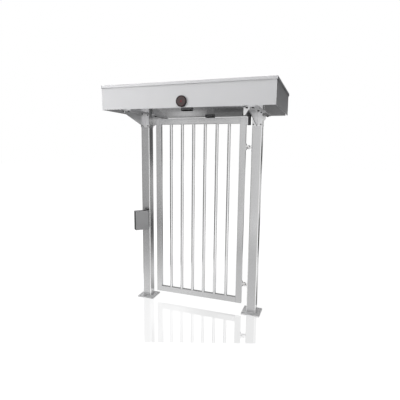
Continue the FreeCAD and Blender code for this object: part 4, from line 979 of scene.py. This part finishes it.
sensor_grey = moulded("sensor_grey", (0.24, 0.24, 0.245), rough=0.6, shine=0.2)
dark_cap = moulded("dark_cap", (0.006, 0.006, 0.007), rough=0.8, shine=0.03)
caps = []
for name in ("front_sensor", "rear_sensor"):
    low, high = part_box(name)
    base = fresh_block(low + Vector((BASE_INSET, BASE_INSET, BASE_FOOT)), high)
    pick(base, "FACE", lambda place, normal: normal.z < -ALONG_AXIS)
    bpy.ops.mesh.inset(thickness=BASE_LIP, depth=0)
    bpy.ops.mesh.extrude_region_move(TRANSFORM_OT_translate={"value": (0, 0, BASE_LIP_HEIGHT)})
    soften(base, SENSOR_EDGE)
    finished(base, f"{name}_base", sensor_grey, "frame", "black_plastic", name)
    cap = fresh_block(low, (high.x, high.y, low.z + CAP_TOP))
    pick(cap, "EDGE", lambda middle, way: abs(way.z) > ALONG_AXIS)
    bpy.ops.mesh.bevel(offset=CAP_CORNER, segments=4)
    pick(cap, "FACE", lambda place, normal: normal.z < -ALONG_AXIS)
    bpy.ops.mesh.inset(thickness=CAP_RIM, depth=0)
    bpy.ops.mesh.inset(thickness=CAP_STEP, depth=-CAP_PANEL)
    soften(cap, SENSOR_EDGE)
    caps.append(cap)
finished(joined(caps), "sensor_caps", dark_cap, "frame", "sensor_window", "sensor_windows")
give(moulded("board_mask", (0.02, 0.16, 0.06), rough=0.4), "indicator_board", "reader_board")


# ---------------------------------------------------------------- card reader
# A moulded dark-grey shell with a lighter front cover, over a circuit board.
# It is screwed to a folded plate on the left post, which turns it towards the walkway.

READER_MIDDLE, READER_TURN = (-0.648, -0.1385, 0), math.radians(50)
READER_HALF, READER_CORNER = 0.0775, 0.008
SHELL_FRONT, SHELL_BACK, SHELL_WALL, SHELL_STEP, SHELL_WELL = -0.0285, 0.0325, 0.0015, 0.0012, 0.03
SHELL_EDGE, COVER_FRONT, COVER_BACK, COVER_EDGE = 0.001, -0.0325, -0.0287, 0.0028

low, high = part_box("reader_box")
reader_place = Matrix.Translation(READER_MIDDLE) @ Matrix.Rotation(READER_TURN, 4, "Z")
body = fresh_block((-READER_HALF, SHELL_FRONT, low.z), (READER_HALF, SHELL_BACK, high.z))
pick(body, "EDGE", lambda middle, way: abs(way.z) > ALONG_AXIS)
bpy.ops.mesh.bevel(offset=READER_CORNER, segments=6)
pick(body, "FACE", lambda place, normal: normal.y < -ALONG_AXIS)
bpy.ops.mesh.inset(thickness=SHELL_WALL, depth=0)
bpy.ops.mesh.inset(thickness=SHELL_STEP, depth=-SHELL_WELL)
soften(body, SHELL_EDGE, degrees=50)
body.matrix_world = reader_place
reader_dark = moulded("reader_dark", (0.085, 0.085, 0.088), rough=0.45)
finished(body, "reader_shell", reader_dark, "frame", "reader_grey", "reader_box")

cover = fresh_block((-READER_HALF, COVER_FRONT, low.z), (READER_HALF, COVER_BACK, high.z))
pick(cover, "EDGE", lambda middle, way: abs(way.z) > ALONG_AXIS)
bpy.ops.mesh.bevel(offset=READER_CORNER, segments=6)
pick(
    cover, "EDGE",
    lambda middle, way: middle.y < COVER_FRONT + TOUCH and abs(way.y) < SQUARE_TO_AXIS,
)
bpy.ops.mesh.bevel(offset=COVER_EDGE, segments=4)
smooth(cover)
cover.matrix_world = reader_place
reader_light = moulded("reader_light", (0.52, 0.52, 0.525), rough=0.42)
finished(cover, "reader_face", reader_light, "frame", "reader_face", "reader_cover")
